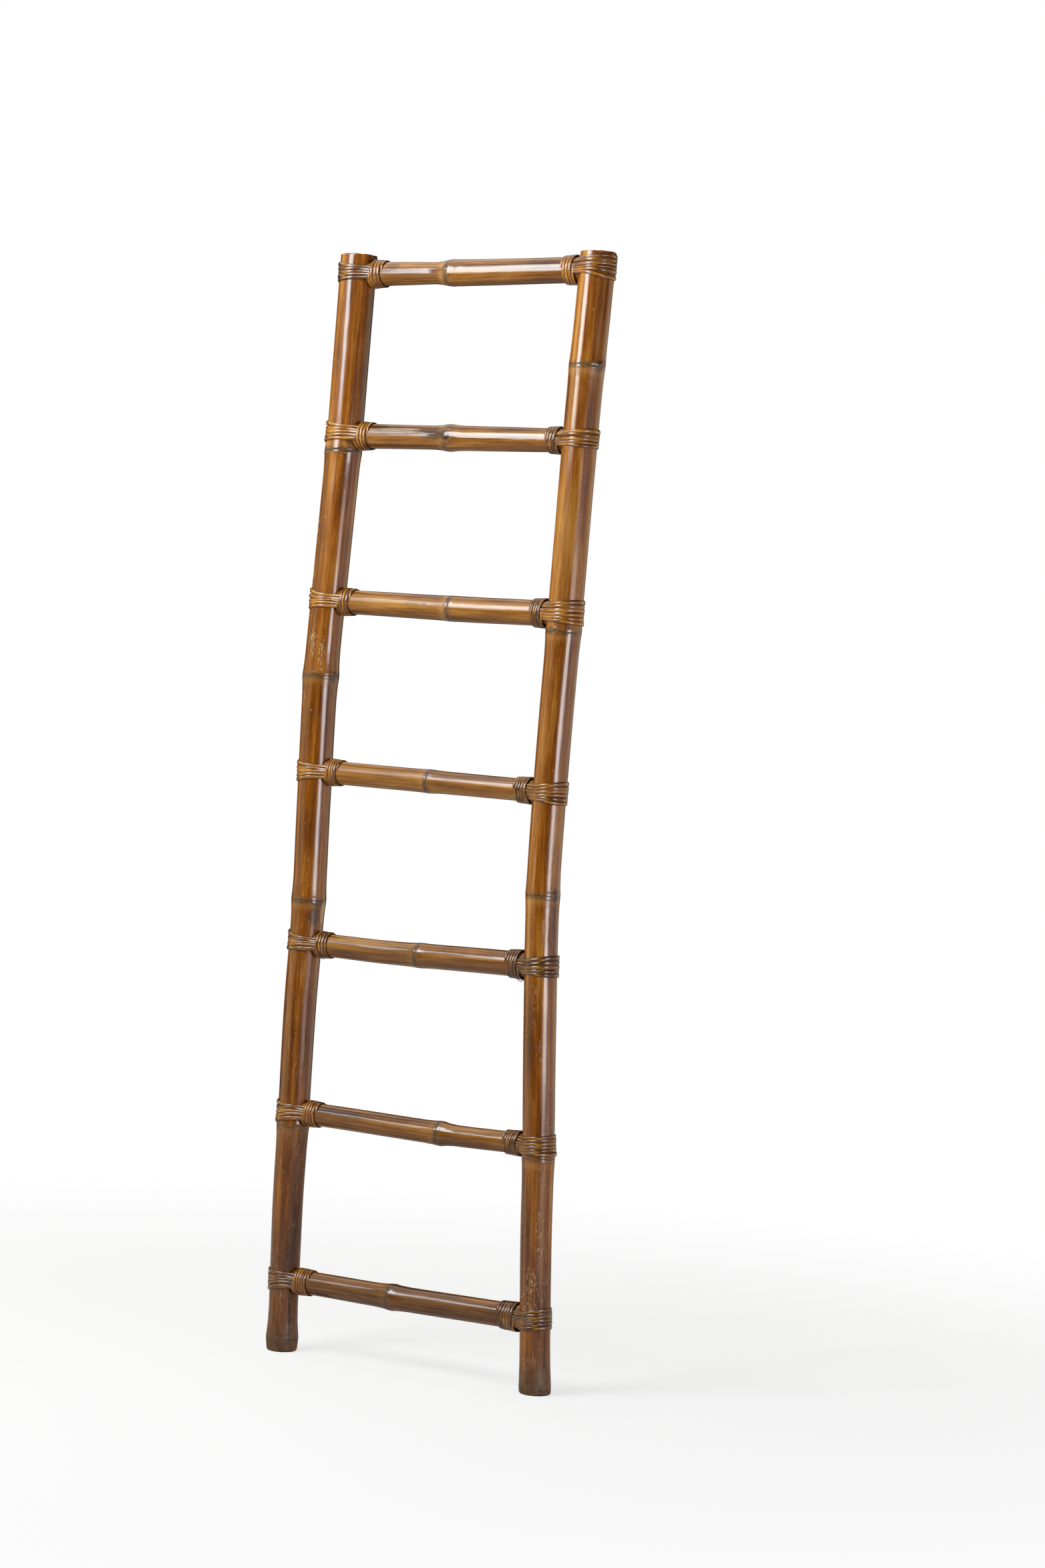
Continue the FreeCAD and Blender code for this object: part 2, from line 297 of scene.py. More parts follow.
def finish_surface(graph: Graph, sockets: Mapping[str, Any]) -> None:
    """Add the surface shader and the material's output.

    Args:
        graph: The material's tree.
        sockets: Values and links of the shader's inputs.
    """
    shader = graph.add("ShaderNodeBsdfPrincipled", None, sockets)
    graph.add("ShaderNodeOutputMaterial", None, {"Surface": shader})


# Finishes

@dataclass(frozen=True)
class Crack:
    """A dark split along the fibres: azimuth in degrees, and its ends and width in metres."""

    azimuth: float
    start: float
    end: float
    width: float = 0.0005


@dataclass(frozen=True)
class Patch:
    """A rubbed or stained place: azimuth in degrees, place along, half length and half width."""

    azimuth: float
    place: float
    length: float
    width: float
    strength: float = 1.0


@dataclass(frozen=True)
class CulmLook:
    """What tells one culm's surface from another's; the tones are of its internodes, from the start."""

    seed: float
    tones: tuple[float, ...] = (0.5,)
    flecks: float = 0.1
    scratches: float = 0.2
    cracks: tuple[Crack, ...] = ()
    worn_and_sheen: tuple[Patch, ...] = ()
    chips: tuple[Patch, ...] = ()
    stains: tuple[Patch, ...] = ()
    foot: float = 0.0
    gloss: float = 0.20
    frost: float = 1.0
    plum: float = 0.4


@dataclass(frozen=True)
class Pattern:
    """A noise of the skin: waves in a metre across and along the fibres, seed, octaves and roughness."""

    across: float
    along: float
    seed: float
    detail: float = 2.0
    rough: float = 0.5


@dataclass(frozen=True)
class BambooFinish:
    """Stained and varnished bamboo skin."""

    deep: Colour = srgb(70, 34, 12)
    brown: Colour = srgb(110, 58, 6)
    gold: Colour = srgb(148, 84, 10)
    amber: Colour = srgb(184, 126, 48)
    pale: Colour = srgb(192, 140, 76)
    plum: Colour = srgb(100, 56, 36)
    ring: Colour = srgb(86, 62, 40)
    groove: Colour = srgb(48, 30, 18)
    smoke: Colour = srgb(66, 46, 32)
    scar: Colour = srgb(176, 142, 98)
    fleck: Colour = srgb(222, 196, 150)
    # Colour of rubbed varnish; the rungs' greyer version also paints part of the silvery sheen of their
    # highlight
    bare_and_sheen: Colour = srgb(196, 150, 84)
    dull: Colour = srgb(84, 60, 38)
    scuff: Colour = srgb(124, 96, 66)
    core: Colour = srgb(176, 136, 84)
    crack: Colour = srgb(28, 17, 10)
    index: float = 1.55
    coat: float = 0.4
    coat_roughness: float = 0.1
    relief: float = 0.00014

    def material(self, name: str, look: CulmLook) -> bpy.types.Material:
        """Material of one culm.

        Args:
            name: The material's name.
            look: What tells this culm from the others.

        Returns:
            The material.
        """
        material, graph = new_material(name)
        skin = CulmSkin(self, look, graph)
        skin.stain()
        skin.mark_nodes()
        skin.wear_out()
        skin.bare_ends()
        finish_surface(graph, {
            "Base Color": skin.colour,
            "Roughness": skin.roughness(),
            "IOR": self.index,
            "Coat Weight": skin.coat(),
            "Coat Roughness": self.coat_roughness,
            "Normal": graph.bump(skin.height(), self.relief),
        })
        return material


class CulmSkin:
    """Painter of one culm: each step lays its colours over those before, and keeps its masks."""

    STREAKS = Pattern(120, 4, 3, 4.0, 0.62)
    FIBRES = Pattern(900, 22, 7, 2.0, 0.6)
    WAVES = Pattern(150, 9, 53)
    DENTS = Pattern(38, 12, 47)
    PITH = Pattern(900, 900, 17)
    BANDS = Pattern(32, 2.4, 0)
    CLOUDS = Pattern(24, 10, 29, 3.0)
    BLUSH = Pattern(34, 1.4, 11)
    DARK_LINES = Pattern(800, 50, 13, 1.0)
    PALE_LINES = Pattern(700, 34, 31, 1.0)
    MOTTLES = Pattern(150, 220, 19, 3.0, 0.65)
    TICKS = Pattern(900, 60, 37, 1.0)
    RAGGED = Pattern(420, 60, 23, 3.0, 0.65)
    CRUMBS = Pattern(720, 150, 41, 2.0, 0.6)
    CURLS = Pattern(260, 36, 43, 2.5, 0.6)
    GATHERED = Pattern(50, 16, 47)
    DIRT = Pattern(110, 70, 59, 4.0, 0.7)

    # Shares of the bands, streaks, fibres and clouds in the tone, and the tones of the five colours
    TONE_SHARES = (0.8, 1.2, 0.55, 0.5)
    STOPS = (0.08, 0.32, 0.54, 0.78, 1.0)
    # Tones of the three colours of the dull foot
    FOOT_STOPS = (0.32, 0.5, 0.66)
    # Distances from a groove at which the frost, the grey ring and the dark line end and are full
    FROST = (0.013, 0.001)
    RING = (0.0085, 0.0025)
    LINE = (0.0070, 0.001)
    FROST_SHIFT = 0.007
    # How far the noises move a groove's colours, and the edge of the frost
    GROOVE_WANDER = 0.006
    FROST_WANDER = (0.020, 0.010)
    # Strengths of the frost, the grey ring and the dark line
    NODE_SHARES = (0.5, 0.8, 0.6)
    # Place from the groove, half width and strength of the pale lines beside it
    SCARS = ((0.0042, 0.0014, 0.4), (-0.0042, 0.0010, 0.2))
    # Shares of a bud's height over which its plum edge and its dark eye begin, and of its pale rim
    BUD_EDGE = (0.05, 0.3)
    BUD_EYE = (0.62, 0.85)
    BUD_RIM = 0.42
    BUD_RIM_WIDTH = (0.20, 0.04)
    # Strengths of a bud's edge, rim and eye, and how far the noise moves them
    BUD_SHARES = (0.75, 0.3, 0.75)
    BUD_WANDER = 0.2
    # Noise over which a fleck shows, with and without a chipped place, and half width of a scratch
    FLECK = (0.78, 0.82)
    FLECK_EASE = 0.3
    CHIP = (0.60, 0.64)
    SCRATCH = (0.012, 0.005)
    # Heights at which the low scratches end and are strongest, and those of the dull foot
    SCRATCHED = (1.3, 0.1)
    FOOT = (0.070, 0.012)
    # How far the noise moves the edge of a patch, and a crack
    PATCH_WANDER = 2.4
    CRACK_WANDER = 0.0015

    def __init__(self, finish: BambooFinish, look: CulmLook, graph: Graph) -> None:
        """Read the culm's attributes and make the patterns that several steps use.

        Args:
            finish: The colours.
            look: What tells this culm from the others.
            graph: The material's tree.
        """
        self.finish = finish
        self.look = look
        self.graph = graph
        self.grain = graph.attribute("grain", "Vector")
        self.place = graph.attribute("place")
        self.cut = graph.attribute("cut")
        self.streak = self.noise(self.STREAKS)
        self.fibre = self.noise(self.FIBRES)
        self.pith = self.noise(self.PITH).step(0.35, 0.7)
        self.ragged = self.noise(self.RAGGED)
        self.nothing = self.ragged * 0.0
        self.wear = self.nothing
        self.crack = self.nothing
        self.colour: Any = finish.brown

    def noise(self, pattern: Pattern) -> Value:
        """One of the patterns, with this culm's own seed."""
        return self.graph.noise(self.grain, (pattern.across, pattern.across, pattern.along),
                                self.look.seed + pattern.seed, pattern.detail, pattern.rough)

    def lay(self, share: Number, colour: Any) -> None:
        """Lay a colour over those before."""
        self.colour = self.graph.mix(share, self.colour, colour)

    def stain(self) -> None:
        """Lay the stain: streaks along the fibres, over soft broad bands."""
        finish = self.finish
        patterns = (self.noise(self.BANDS), self.streak, self.fibre, self.noise(self.CLOUDS))
        tone, *others = [(value - 0.5) * share for value, share in zip(patterns, self.TONE_SHARES)]
        for other in (*others, self.graph.attribute("tone")):
            tone = tone + other
        colours = (finish.deep, finish.brown, finish.gold, finish.amber, finish.pale)
        self.colour = self.graph.ramp(tone, tuple(zip(self.STOPS, colours)))
        self.lay(self.noise(self.BLUSH).step(0.48, 0.70) * self.look.plum, finish.plum)
        self.lay(self.noise(self.DARK_LINES).step(0.58, 0.72) * 0.3, finish.deep)
        self.lay(self.noise(self.PALE_LINES).step(0.62, 0.76) * 0.2, finish.pale)

    def mark_nodes(self) -> None:
        """Colour the growth nodes and their buds."""
        finish = self.finish
        strength = self.graph.attribute("ring")
        mottle, tick = self.noise(self.MOTTLES), self.noise(self.TICKS)
        fine, coarse = self.FROST_WANDER
        frost, grey, dark = self.NODE_SHARES
        wave = self.graph.attribute("gap") + (mottle - 0.5) * self.GROOVE_WANDER
        reach = (wave + self.FROST_SHIFT).size() + (tick - 0.5) * fine + (mottle - 0.5) * coarse
        self.lay((reach.step(*self.FROST) * strength * frost * self.look.frost).held(), finish.pale)
        ring = wave.size().step(*self.RING) * (mottle * 0.7 + tick * 0.3).step(0.12, 0.46)
        self.lay((ring * strength * grey).held(), finish.ring)
        line = wave.size().step(*self.LINE) * mottle.step(0.42, 0.62) * strength
        self.lay((line * dark).held(), finish.groove)
        for place, width, share in self.SCARS:
            scar = (wave - place).size().step(width, width * 0.3) * tick.step(0.35, 0.65)
            self.lay((scar * strength * share).held(), finish.scar)
        edge, rim, eye = self.BUD_SHARES
        bud = self.graph.attribute("bud") + (mottle - 0.5) * self.BUD_WANDER
        self.lay(bud.step(*self.BUD_EDGE) * edge, finish.plum)
        self.lay((bud - self.BUD_RIM).size().step(*self.BUD_RIM_WIDTH) * rim, finish.scar)
        self.lay(bud.step(*self.BUD_EYE) * eye, finish.groove)

    def wear_out(self) -> None:
        """Add stains, rubbed places, flecks, scratches, the dull foot and cracks."""
        finish, look, ragged = self.finish, self.look, self.ragged
        crumb = self.noise(self.CRUMBS)
        for stain in look.stains:
            self.lay(self.patch(stain), finish.smoke)
        # Rubbed places: worn varnish, and on the rungs a silver grey that is partly a painted sheen of the
        # highlight
        for worn_and_sheen in look.worn_and_sheen:
            self.lay(self.patch(worn_and_sheen), finish.bare_and_sheen)
        wear = crumb.step(*(edge - look.flecks * self.FLECK_EASE for edge in self.FLECK))
        chipped = self.nothing
        for chip in look.chips:
            patch = self.patch(chip)
            wear = (wear + patch * crumb.step(*self.CHIP)).held()
            chipped = chipped + patch
        low = self.place.step(*self.SCRATCHED) * look.scratches
        scratch = (self.noise(self.CURLS) - 0.5).size().step(*self.SCRATCH)
        scratch = scratch * self.noise(self.GATHERED).step(0.50, 0.58)
        wear = wear + (scratch * (low + chipped)).held()
        self.lay((wear * 0.8).held(), finish.fleck)
        foot = (self.place.step(*self.FOOT) * look.foot * (0.4 + ragged * 0.8)).held()
        colours = (finish.groove, finish.dull, finish.scuff)
        self.lay(foot, self.graph.ramp(self.noise(self.DIRT), tuple(zip(self.FOOT_STOPS, colours))))
        self.wear = (wear + foot).held()
        for crack in look.cracks:
            self.crack = self.crack + self.split(crack)
        self.crack = self.crack.held()
        self.lay(self.crack, finish.crack)

    def bare_ends(self) -> None:
        """Show the pale core where the culm is cut."""
        self.lay(self.cut, self.graph.mix(self.pith, self.finish.brown, self.finish.core))

    def roughness(self) -> Value:
        """Roughness: even on the varnish, higher where it is worn or cut."""
        return (self.look.gloss + (self.streak - 0.5) * 0.4 + self.wear * 0.4 + self.cut * 0.5).held()

    def coat(self) -> Value:
        """Weight of the varnish; none where it is worn or cut."""
        return ((self.streak.step(0.25, 0.6) - self.wear - self.cut) * self.finish.coat).held()

    def height(self) -> Value:
        """Fine relief of the skin: fibres, streaks and dents, and the cracks and wear in it.

        Returns:
            The height.
        """
        return (self.fibre * 0.30 + self.streak * 1.3 + self.noise(self.WAVES) * 1.5
                + self.noise(self.DENTS) * 4.5 - self.crack * 4.0 - self.wear * 0.6
                + self.pith * self.cut * 3.0)

    def across(self, azimuth: float) -> tuple[Value, Value]:
        """Signed distance from a line along the culm, and the mask of the side that it is on.

        Args:
            azimuth: Direction of the line from the culm's axis, in degrees.

        Returns:
            The distance and the mask.
        """
        turn = math.radians(azimuth)
        aside = self.graph.vector("DOT_PRODUCT", self.grain, (-math.sin(turn), math.cos(turn), 0), 1)
        facing = self.graph.vector("DOT_PRODUCT", self.grain, (math.cos(turn), math.sin(turn), 0), 1)
        return aside, facing.math("GREATER_THAN", 0.0)

    def patch(self, patch: Patch) -> Value:
        """Mask of a rubbed or stained place, with a ragged edge.

        Args:
            patch: The place.

        Returns:
            The mask.
        """
        aside, facing = self.across(patch.azimuth)
        along = self.place - patch.place
        reach = (aside / patch.width).math("POWER", 2.0) + (along / patch.length).math("POWER", 2.0)
        edge = reach + (self.ragged - 0.5) * self.PATCH_WANDER
        return edge.step(1.1, 0.5) * facing * patch.strength

    def split(self, crack: Crack) -> Value:
        """Mask of a crack, which narrows towards its ends.

        Args:
            crack: The crack.

        Returns:
            The mask.
        """
        aside, facing = self.across(crack.azimuth)
        middle, half = (crack.start + crack.end) / 2, abs(crack.end - crack.start) / 2
        taper = ((self.place - middle) / half).size().step(1.0, 0.6)
        bent = (aside + (self.ragged - 0.5) * self.CRACK_WANDER).size()
        return bent.step(crack.width, crack.width * 0.4) * taper * facing


@dataclass(frozen=True)
class RattanFinish:
    """Split rattan, glazed with the same varnish as the culms."""

    dark: Colour = srgb(56, 30, 10)
    brown: Colour = srgb(114, 62, 16)
    gold: Colour = srgb(166, 102, 22)
    straw: Colour = srgb(204, 148, 60)
    plum: Colour = srgb(74, 36, 22)
    russet: Colour = srgb(126, 70, 30)
    amber: Colour = srgb(204, 144, 34)
    # Near black at the strands' edges: partly dark varnish in the valleys, partly painted shade between the
    # strands
    seam_varnish_and_shade: Colour = srgb(30, 18, 10)
    roughness: float = 0.26
    index: float = 1.55
    coat: float = 0.6
    coat_roughness: float = 0.12
    relief: float = 0.0005

    # Waves across a strip, from strip to strip, and in a metre along it
    FIBRES = (4.0, 1.0, 16)
    BLOTCHES = (0.7, 1.0, 34)
    POOLS = (1.1, 1.0, 60)

    def material(self, name: str, seed: float) -> bpy.types.Material:
        """Material of the strands or of the windings.

        Args:
            name: The material's name.
            seed: Shift of its patterns.

        Returns:
            The material.
        """
        material, graph = new_material(name)
        strip = graph.attribute("strip", "Vector")
        across = graph.add("ShaderNodeSeparateXYZ", None, {0: strip}, "X")
        fibre = graph.noise(strip, self.FIBRES, seed, 3.0, 0.6)
        blotch = graph.noise(strip, self.BLOTCHES, seed + 5)
        value = (fibre - 0.5) + (blotch - 0.5) * 1.6 + graph.attribute("tone") - 0.08
        colour = graph.ramp(value, ((0.05, self.dark), (0.32, self.brown), (0.6, self.gold),
                                    (0.95, self.straw)))
        red = graph.ramp(value, ((0.05, self.dark), (0.35, self.plum), (0.9, self.russet)))
        colour = graph.mix((graph.attribute("ruddy") + (blotch - 0.5) * 0.5).held(), colour, red)
        pool = graph.noise(strip, self.POOLS, seed + 9, 2.0, 0.6)
        colour = graph.mix(pool.step(0.54, 0.64) * 0.7, colour, self.amber)
        # Painted shade, in part: each strand darkens towards its sides and turns near black at its edges; the
        # rest is the dark varnish in the valleys between strands
        side = across.size() + (fibre - 0.5) * 0.3
        colour = graph.mix(side.step(0.45, 1.0) * 0.75, colour, self.dark)
        edge = side.step(0.88, 1.02)
        colour = graph.mix(edge * 0.9, colour, self.seam_varnish_and_shade)
        finish_surface(graph, {
            "Base Color": colour,
            "Roughness": (self.roughness + (blotch - 0.5) * 0.3 + edge * 0.3).held(),
            "IOR": self.index,
            "Coat Weight": ((1.0 - edge) * self.coat).held(),
            "Coat Roughness": self.coat_roughness,
            "Normal": graph.bump(fibre * 0.5 + blotch * 1.2 + pool * 0.8, self.relief),
        })
        return material


@dataclass(frozen=True)
class WoodFinish:
    """Plain turned wood of the dowels in the rung ends."""

    light: Colour = srgb(196, 158, 108)
    dark: Colour = srgb(150, 110, 66)
    roughness: float = 0.55
    relief: float = 0.0003

    # Waves in a metre along X, Y and Z
    GRAIN = (12, 320, 320)

    def material(self, name: str) -> bpy.types.Material:
        """Material of the dowels, with grain along X.

        Args:
            name: The material's name.

        Returns:
            The material.
        """
        material, graph = new_material(name)
        place = graph.add("ShaderNodeTexCoord", output="Object")
        grain = graph.noise(place, self.GRAIN, 2.0, 3.0)
        colour = graph.mix(grain.step(0.3, 0.7), self.dark, self.light)
        finish_surface(graph, {
            "Base Color": colour,
            "Roughness": self.roughness + (grain - 0.5) * 0.2,
            "Normal": graph.bump(grain, self.relief),
        })
        return material


@dataclass(frozen=True)
class SteelFinish:
    """Bright steel wire of the brads."""

    bright: Colour = srgb(176, 174, 170)
    dull: Colour = srgb(112, 104, 96)
    roughness: float = 0.3
    relief: float = 0.00005

    # Waves of the tarnish in a metre
    TARNISH = (900, 900, 900)

    def material(self, name: str) -> bpy.types.Material:
        """Material of the brads, a little tarnished.

        Args:
            name: The material's name.

        Returns:
            The material.
        """
        material, graph = new_material(name)
        place = graph.add("ShaderNodeTexCoord", output="Object")
        tarnish = graph.noise(place, self.TARNISH, 4.0, 3.0)
        colour = graph.mix(tarnish.step(0.4, 0.7), self.bright, self.dull)
        finish_surface(graph, {
            "Base Color": colour,
            "Metallic": 1.0,
            "Roughness": self.roughness + tarnish * 0.2,
            "Normal": graph.bump(tarnish, self.relief),
        })
        return material


# Meshes

@dataclass
class Ring:
    """One closed ring of a tube, with the values that its points carry."""

    points: list[Vector]
    grain: list[Vector]
    place: float = 0.0
    cut: float = 0.0
    gap: float = 1.0
    tone: float = 0.5
    ring: float = 0.0
    bud: Optional[list[float]] = None


def tube_mesh(name: str, rings: Sequence[Ring]) -> bpy.types.Mesh:
    """Closed mesh through rings, with a fan over the first and the last.

    Args:
        name: The mesh's name.
        rings: The rings, in order, seen turning the same way.

    Returns:
        The mesh, with its attributes.
    """
    count = len(rings[0].points)
    points = [point for ring in rings for point in ring.points]
    grain = [place for ring in rings for place in ring.grain]
    faces: list[tuple[int, ...]] = []
    for row in range(len(rings) - 1):
        low, high = row * count, (row + 1) * count
        for k in range(count):
            after = (k + 1) % count
            faces.append((low + k, low + after, high + after, high + k))
    for ring, first, turn in ((rings[0], 0, -1), (rings[-1], (len(rings) - 1) * count, 1)):
        tip = len(points)
        points.append(sum(ring.points, Vector()) / count)
        grain.append(sum(ring.grain, Vector()) / count)
        for k in range(count):
            pair = (first + k, first + (k + 1) % count)
            faces.append((*pair[::turn], tip))
    mesh = bpy.data.meshes.new(name)
    mesh.from_pydata([tuple(point) for point in points], [], faces)
    mesh.shade_smooth()
    ends = (rings[0], rings[-1])
    add_vectors(mesh, "grain", grain)
    for label in ("place", "cut", "gap", "tone", "ring"):
        values = [getattr(ring, label) for ring in rings for _ in ring.points]
        add_numbers(mesh, label, values + [getattr(ring, label) for ring in ends])
    buds = [value for ring in rings for value in (ring.bud or [0.0] * count)]
    add_numbers(mesh, "bud", buds + [0.0, 0.0])
    return mesh


def add_numbers(mesh: bpy.types.Mesh, name: str, values: Sequence[float]) -> None:
    """Give a mesh's points a number each.

    Args:
        mesh: The mesh.
        name: Name of the attribute.
        values: A number for each point.
    """
    mesh.attributes.new(name, "FLOAT", "POINT").data.foreach_set("value", values)


def add_vectors(mesh: bpy.types.Mesh, name: str, values: Iterable[Vector]) -> None:
    """Give a mesh's points a vector each.

    Args:
        mesh: The mesh.
        name: Name of the attribute.
        values: A vector for each point.
    """
    flat = [number for value in values for number in value]
    mesh.attributes.new(name, "FLOAT_VECTOR", "POINT").data.foreach_set("vector", flat)


def add_piece(name: str, mesh: bpy.types.Mesh, replaced: Sequence[str]) -> bpy.types.Object:
    """Put a finished mesh in the scene in place of CAD nodes.

    Args:
        name: The piece's name.
        mesh: Its mesh, in place.
        replaced: The nodes that it stands for.

    Returns:
        The piece.
    """
    piece = bpy.data.objects.new(name, mesh)
    bpy.context.scene.collection.objects.link(piece)
    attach(piece, "root")
    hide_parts(*replaced)
    LOG.info("%s: %d faces", name, len(mesh.polygons))
    return piece


# Culms

@dataclass(frozen=True)
class GrowthNode:
    """A growth node: place along the culm, swelling, its reach, and the bud on it.

    The growth direction tells on which side of the groove the leaf sheath's scar lies.
    """

    place: float
    swelling: float
    reach: float
    growth: float = 1.0
    mark: float = 0.7
    bud_azimuth: float = 0.0
    bud_size: float = 0.0
    bud_rise: float = 0.0010

    # Share of the reach and share of the swelling there
    PROFILE = ((0.0, 1.0), (0.05, 0.98), (0.2, 0.78), (0.5, 0.33), (1.0, 0.0))
    # Height, place up from the groove and width of the ridge, the groove and the sheath's scar
    RELIEF = ((0.00022, 0.0040, 0.0030), (-0.00012, 0.0, 0.0014), (0.0001, -0.0036, 0.0013))
    BUD_LIFT = 0.25

    def swell(self, distance: float) -> float:
        """Share of the swelling near the groove.

        Args:
            distance: Distance along the culm from the groove.

        Returns:
            The share, from 0 to 1.
        """
        place = abs(distance) / self.reach
        for (low, share_low), (high, share_high) in zip(self.PROFILE, self.PROFILE[1:]):
            if low <= place <= high:
                share = (place - low) / (high - low)
                return share_low + (share_high - share_low) * share
        return 0.0

    def relief(self, distance: float) -> float:
        """Height of the ridge, the groove and the sheath's scar at a distance from the groove."""
        up = distance * self.growth
        return sum(height * bell(up - place, width) for height, place, width in self.RELIEF)

    def bud(self, distance: float, azimuth: float, radius: float) -> float:
        """Share of the bud's height at a place.

        Args:
            distance: Distance along the culm from the groove.
            azimuth: Direction from the axis, in degrees.
            radius: Radius of the culm.

        Returns:
            The share, from 0 to 1.
        """
        if not self.bud_size:
            return 0.0
        turn = math.radians((azimuth - self.bud_azimuth + 180) % 360 - 180)
        up = distance * self.growth - self.BUD_LIFT * self.bud_size
        return bell(math.hypot(turn * radius, up), self.bud_size)


@dataclass
class Culm:
    """A length of bamboo; its nodes, look and seed tell it from the others."""

    name: str
    nodes: tuple[GrowthNode, ...]
    look: CulmLook
    sides: int = 96

    # Steps between rings away from the nodes and at them, and how far from a node each holds
    COARSE = 0.006
    FINE = 0.0009
    NODE_ZONE = 0.016
    STEP_GROWTH = 4
    MARK_ZONE = 0.06
    TONE_CHANGE = 0.006
    NODE_WANDER = 0.0009
    # Heights of the oval, the flats and the dents of the skin
    OVAL = 0.00015
    FLATS = 0.00025
    DENTS = 0.00008
    # Waves round the culm and in a metre along it, of the flats, the dents and a node's wandering
    FLAT_WAVES = (2.2, 5)
    DENT_WAVES = (7, 22)
    WANDER_WAVES = (2, 9)
    INTERNODE_SEED = 7
    # Shift of the grain from one internode to the next, so that no streak crosses a node
    GRAIN_SHIFT = 3.0

    def stations(self, start: float, end: float) -> list[float]:
        """Places along the culm for its rings, close together at the nodes.

        Args:
            start: First place.
            end: Last place.

        Returns:
            The places, in order.
        """
        places = [start]
        while places[-1] < end:
            near = min((abs(places[-1] - node.place) for node in self.nodes), default=1.0)
            wide = min(self.COARSE, self.FINE + (near - self.NODE_ZONE) / self.STEP_GROWTH)
            places.append(places[-1] + (self.FINE if near < self.NODE_ZONE else wide))
        places[-1] = end
        return places

    def nearest(self, place: float) -> GrowthNode:
        """The growth node nearest to a place."""
        return min(self.nodes, key=lambda node: abs(place - node.place))

    def gap(self, place: float) -> float:
        """Signed distance from the nearest groove, along the growth."""
        node = self.nearest(place)
        return (place - node.place) * node.growth

    def tone(self, place: float) -> float:
        """Tone of the skin, which changes at each node.

        Args:
            place: Place along the culm.

        Returns:
            The tone, darkest at 0.
        """
        tones = self.look.tones
        tone = tones[0]
        for node, after in zip(self.nodes, tones[1:]):
            tone += (after - tone) * ease((place - node.place) / self.TONE_CHANGE + 0.5)
        return tone

    def mark(self, place: float) -> float:
        """How strongly a node colours this place; nothing away from the nodes."""
        node = self.nearest(place)
        return node.mark if abs(place - node.place) < self.MARK_ZONE else 0.0

    def internode(self, place: float) -> int:
        """Number of the internode at a place."""
        return sum(place > node.place for node in self.nodes)

    def grain_place(self, flat: Vector, place: float) -> Vector:
        """Place of a point of the skin in the grain."""
        return flat + Vector((0, 0, place + self.GRAIN_SHIFT * self.internode(place)))

    def unevenness(self, place: float, azimuth: float) -> float:
        """Departure of the skin from a true circle.

        Args:
            place: Place along the culm.
            azimuth: Direction from the axis, in degrees.

        Returns:
            The departure, outwards.
        """
        turn = math.radians(azimuth)
        seed = self.look.seed + self.INTERNODE_SEED * self.internode(place)
        return (self.OVAL * math.cos(2 * turn + seed)
                + self.FLATS * self.ripple(turn, place, self.FLAT_WAVES, seed)
                + self.DENTS * self.ripple(turn, place, self.DENT_WAVES, seed))

    @staticmethod
    def ripple(turn: float, place: float, waves: Pair, seed: float) -> float:
        """Noise round a culm and along it.

        Args:
            turn: Direction from the axis, in radians.
            place: Place along the culm.
            waves: Waves round the culm, and in a metre along it.
            seed: Shift of the noise.

        Returns:
            The noise, around 0.
        """
        around, along = waves
        return noise.noise(Vector((around * math.cos(turn), around * math.sin(turn), place * along + seed)))

    def skin(self, place: float, azimuth: float, base: float) -> Pair:
        """Outer radius and bud mask at a place.

        Args:
            place: Place along the culm.
            azimuth: Direction from the axis, in degrees.
            base: Radius without nodes.

        Returns:
            The radius, and the bud's mask from 0 to 1.
        """
        radius, mask = base + self.unevenness(place, azimuth), 0.0
        turn = math.radians(azimuth)
        for node in self.nodes:
            distance = place - node.place
            if abs(distance) > node.reach:
                continue
            wander = self.NODE_WANDER * self.ripple(turn, node.place, self.WANDER_WAVES, 0.0)
            bud = node.bud(distance, azimuth, base)
            radius += node.swelling * node.swell(distance) + node.relief(distance + wander)
            radius += node.bud_rise * bud
            mask = max(mask, bud)
        return radius, mask

    def dress(self, rings: Sequence[Ring], finish: BambooFinish, slot: str) -> None:
        """Make the culm's mesh, dress it and put it in place of its CAD node.

        Args:
            rings: The rings of its surface.
            finish: The finish of the bamboo.
            slot: Not used.
        """
        mesh = tube_mesh(f"culm_{self.name}", rings)
        mesh.materials.append(finish.material(f"bamboo_{self.name}", self.look))
        add_piece(f"culm_{self.name}", mesh, [self.name])


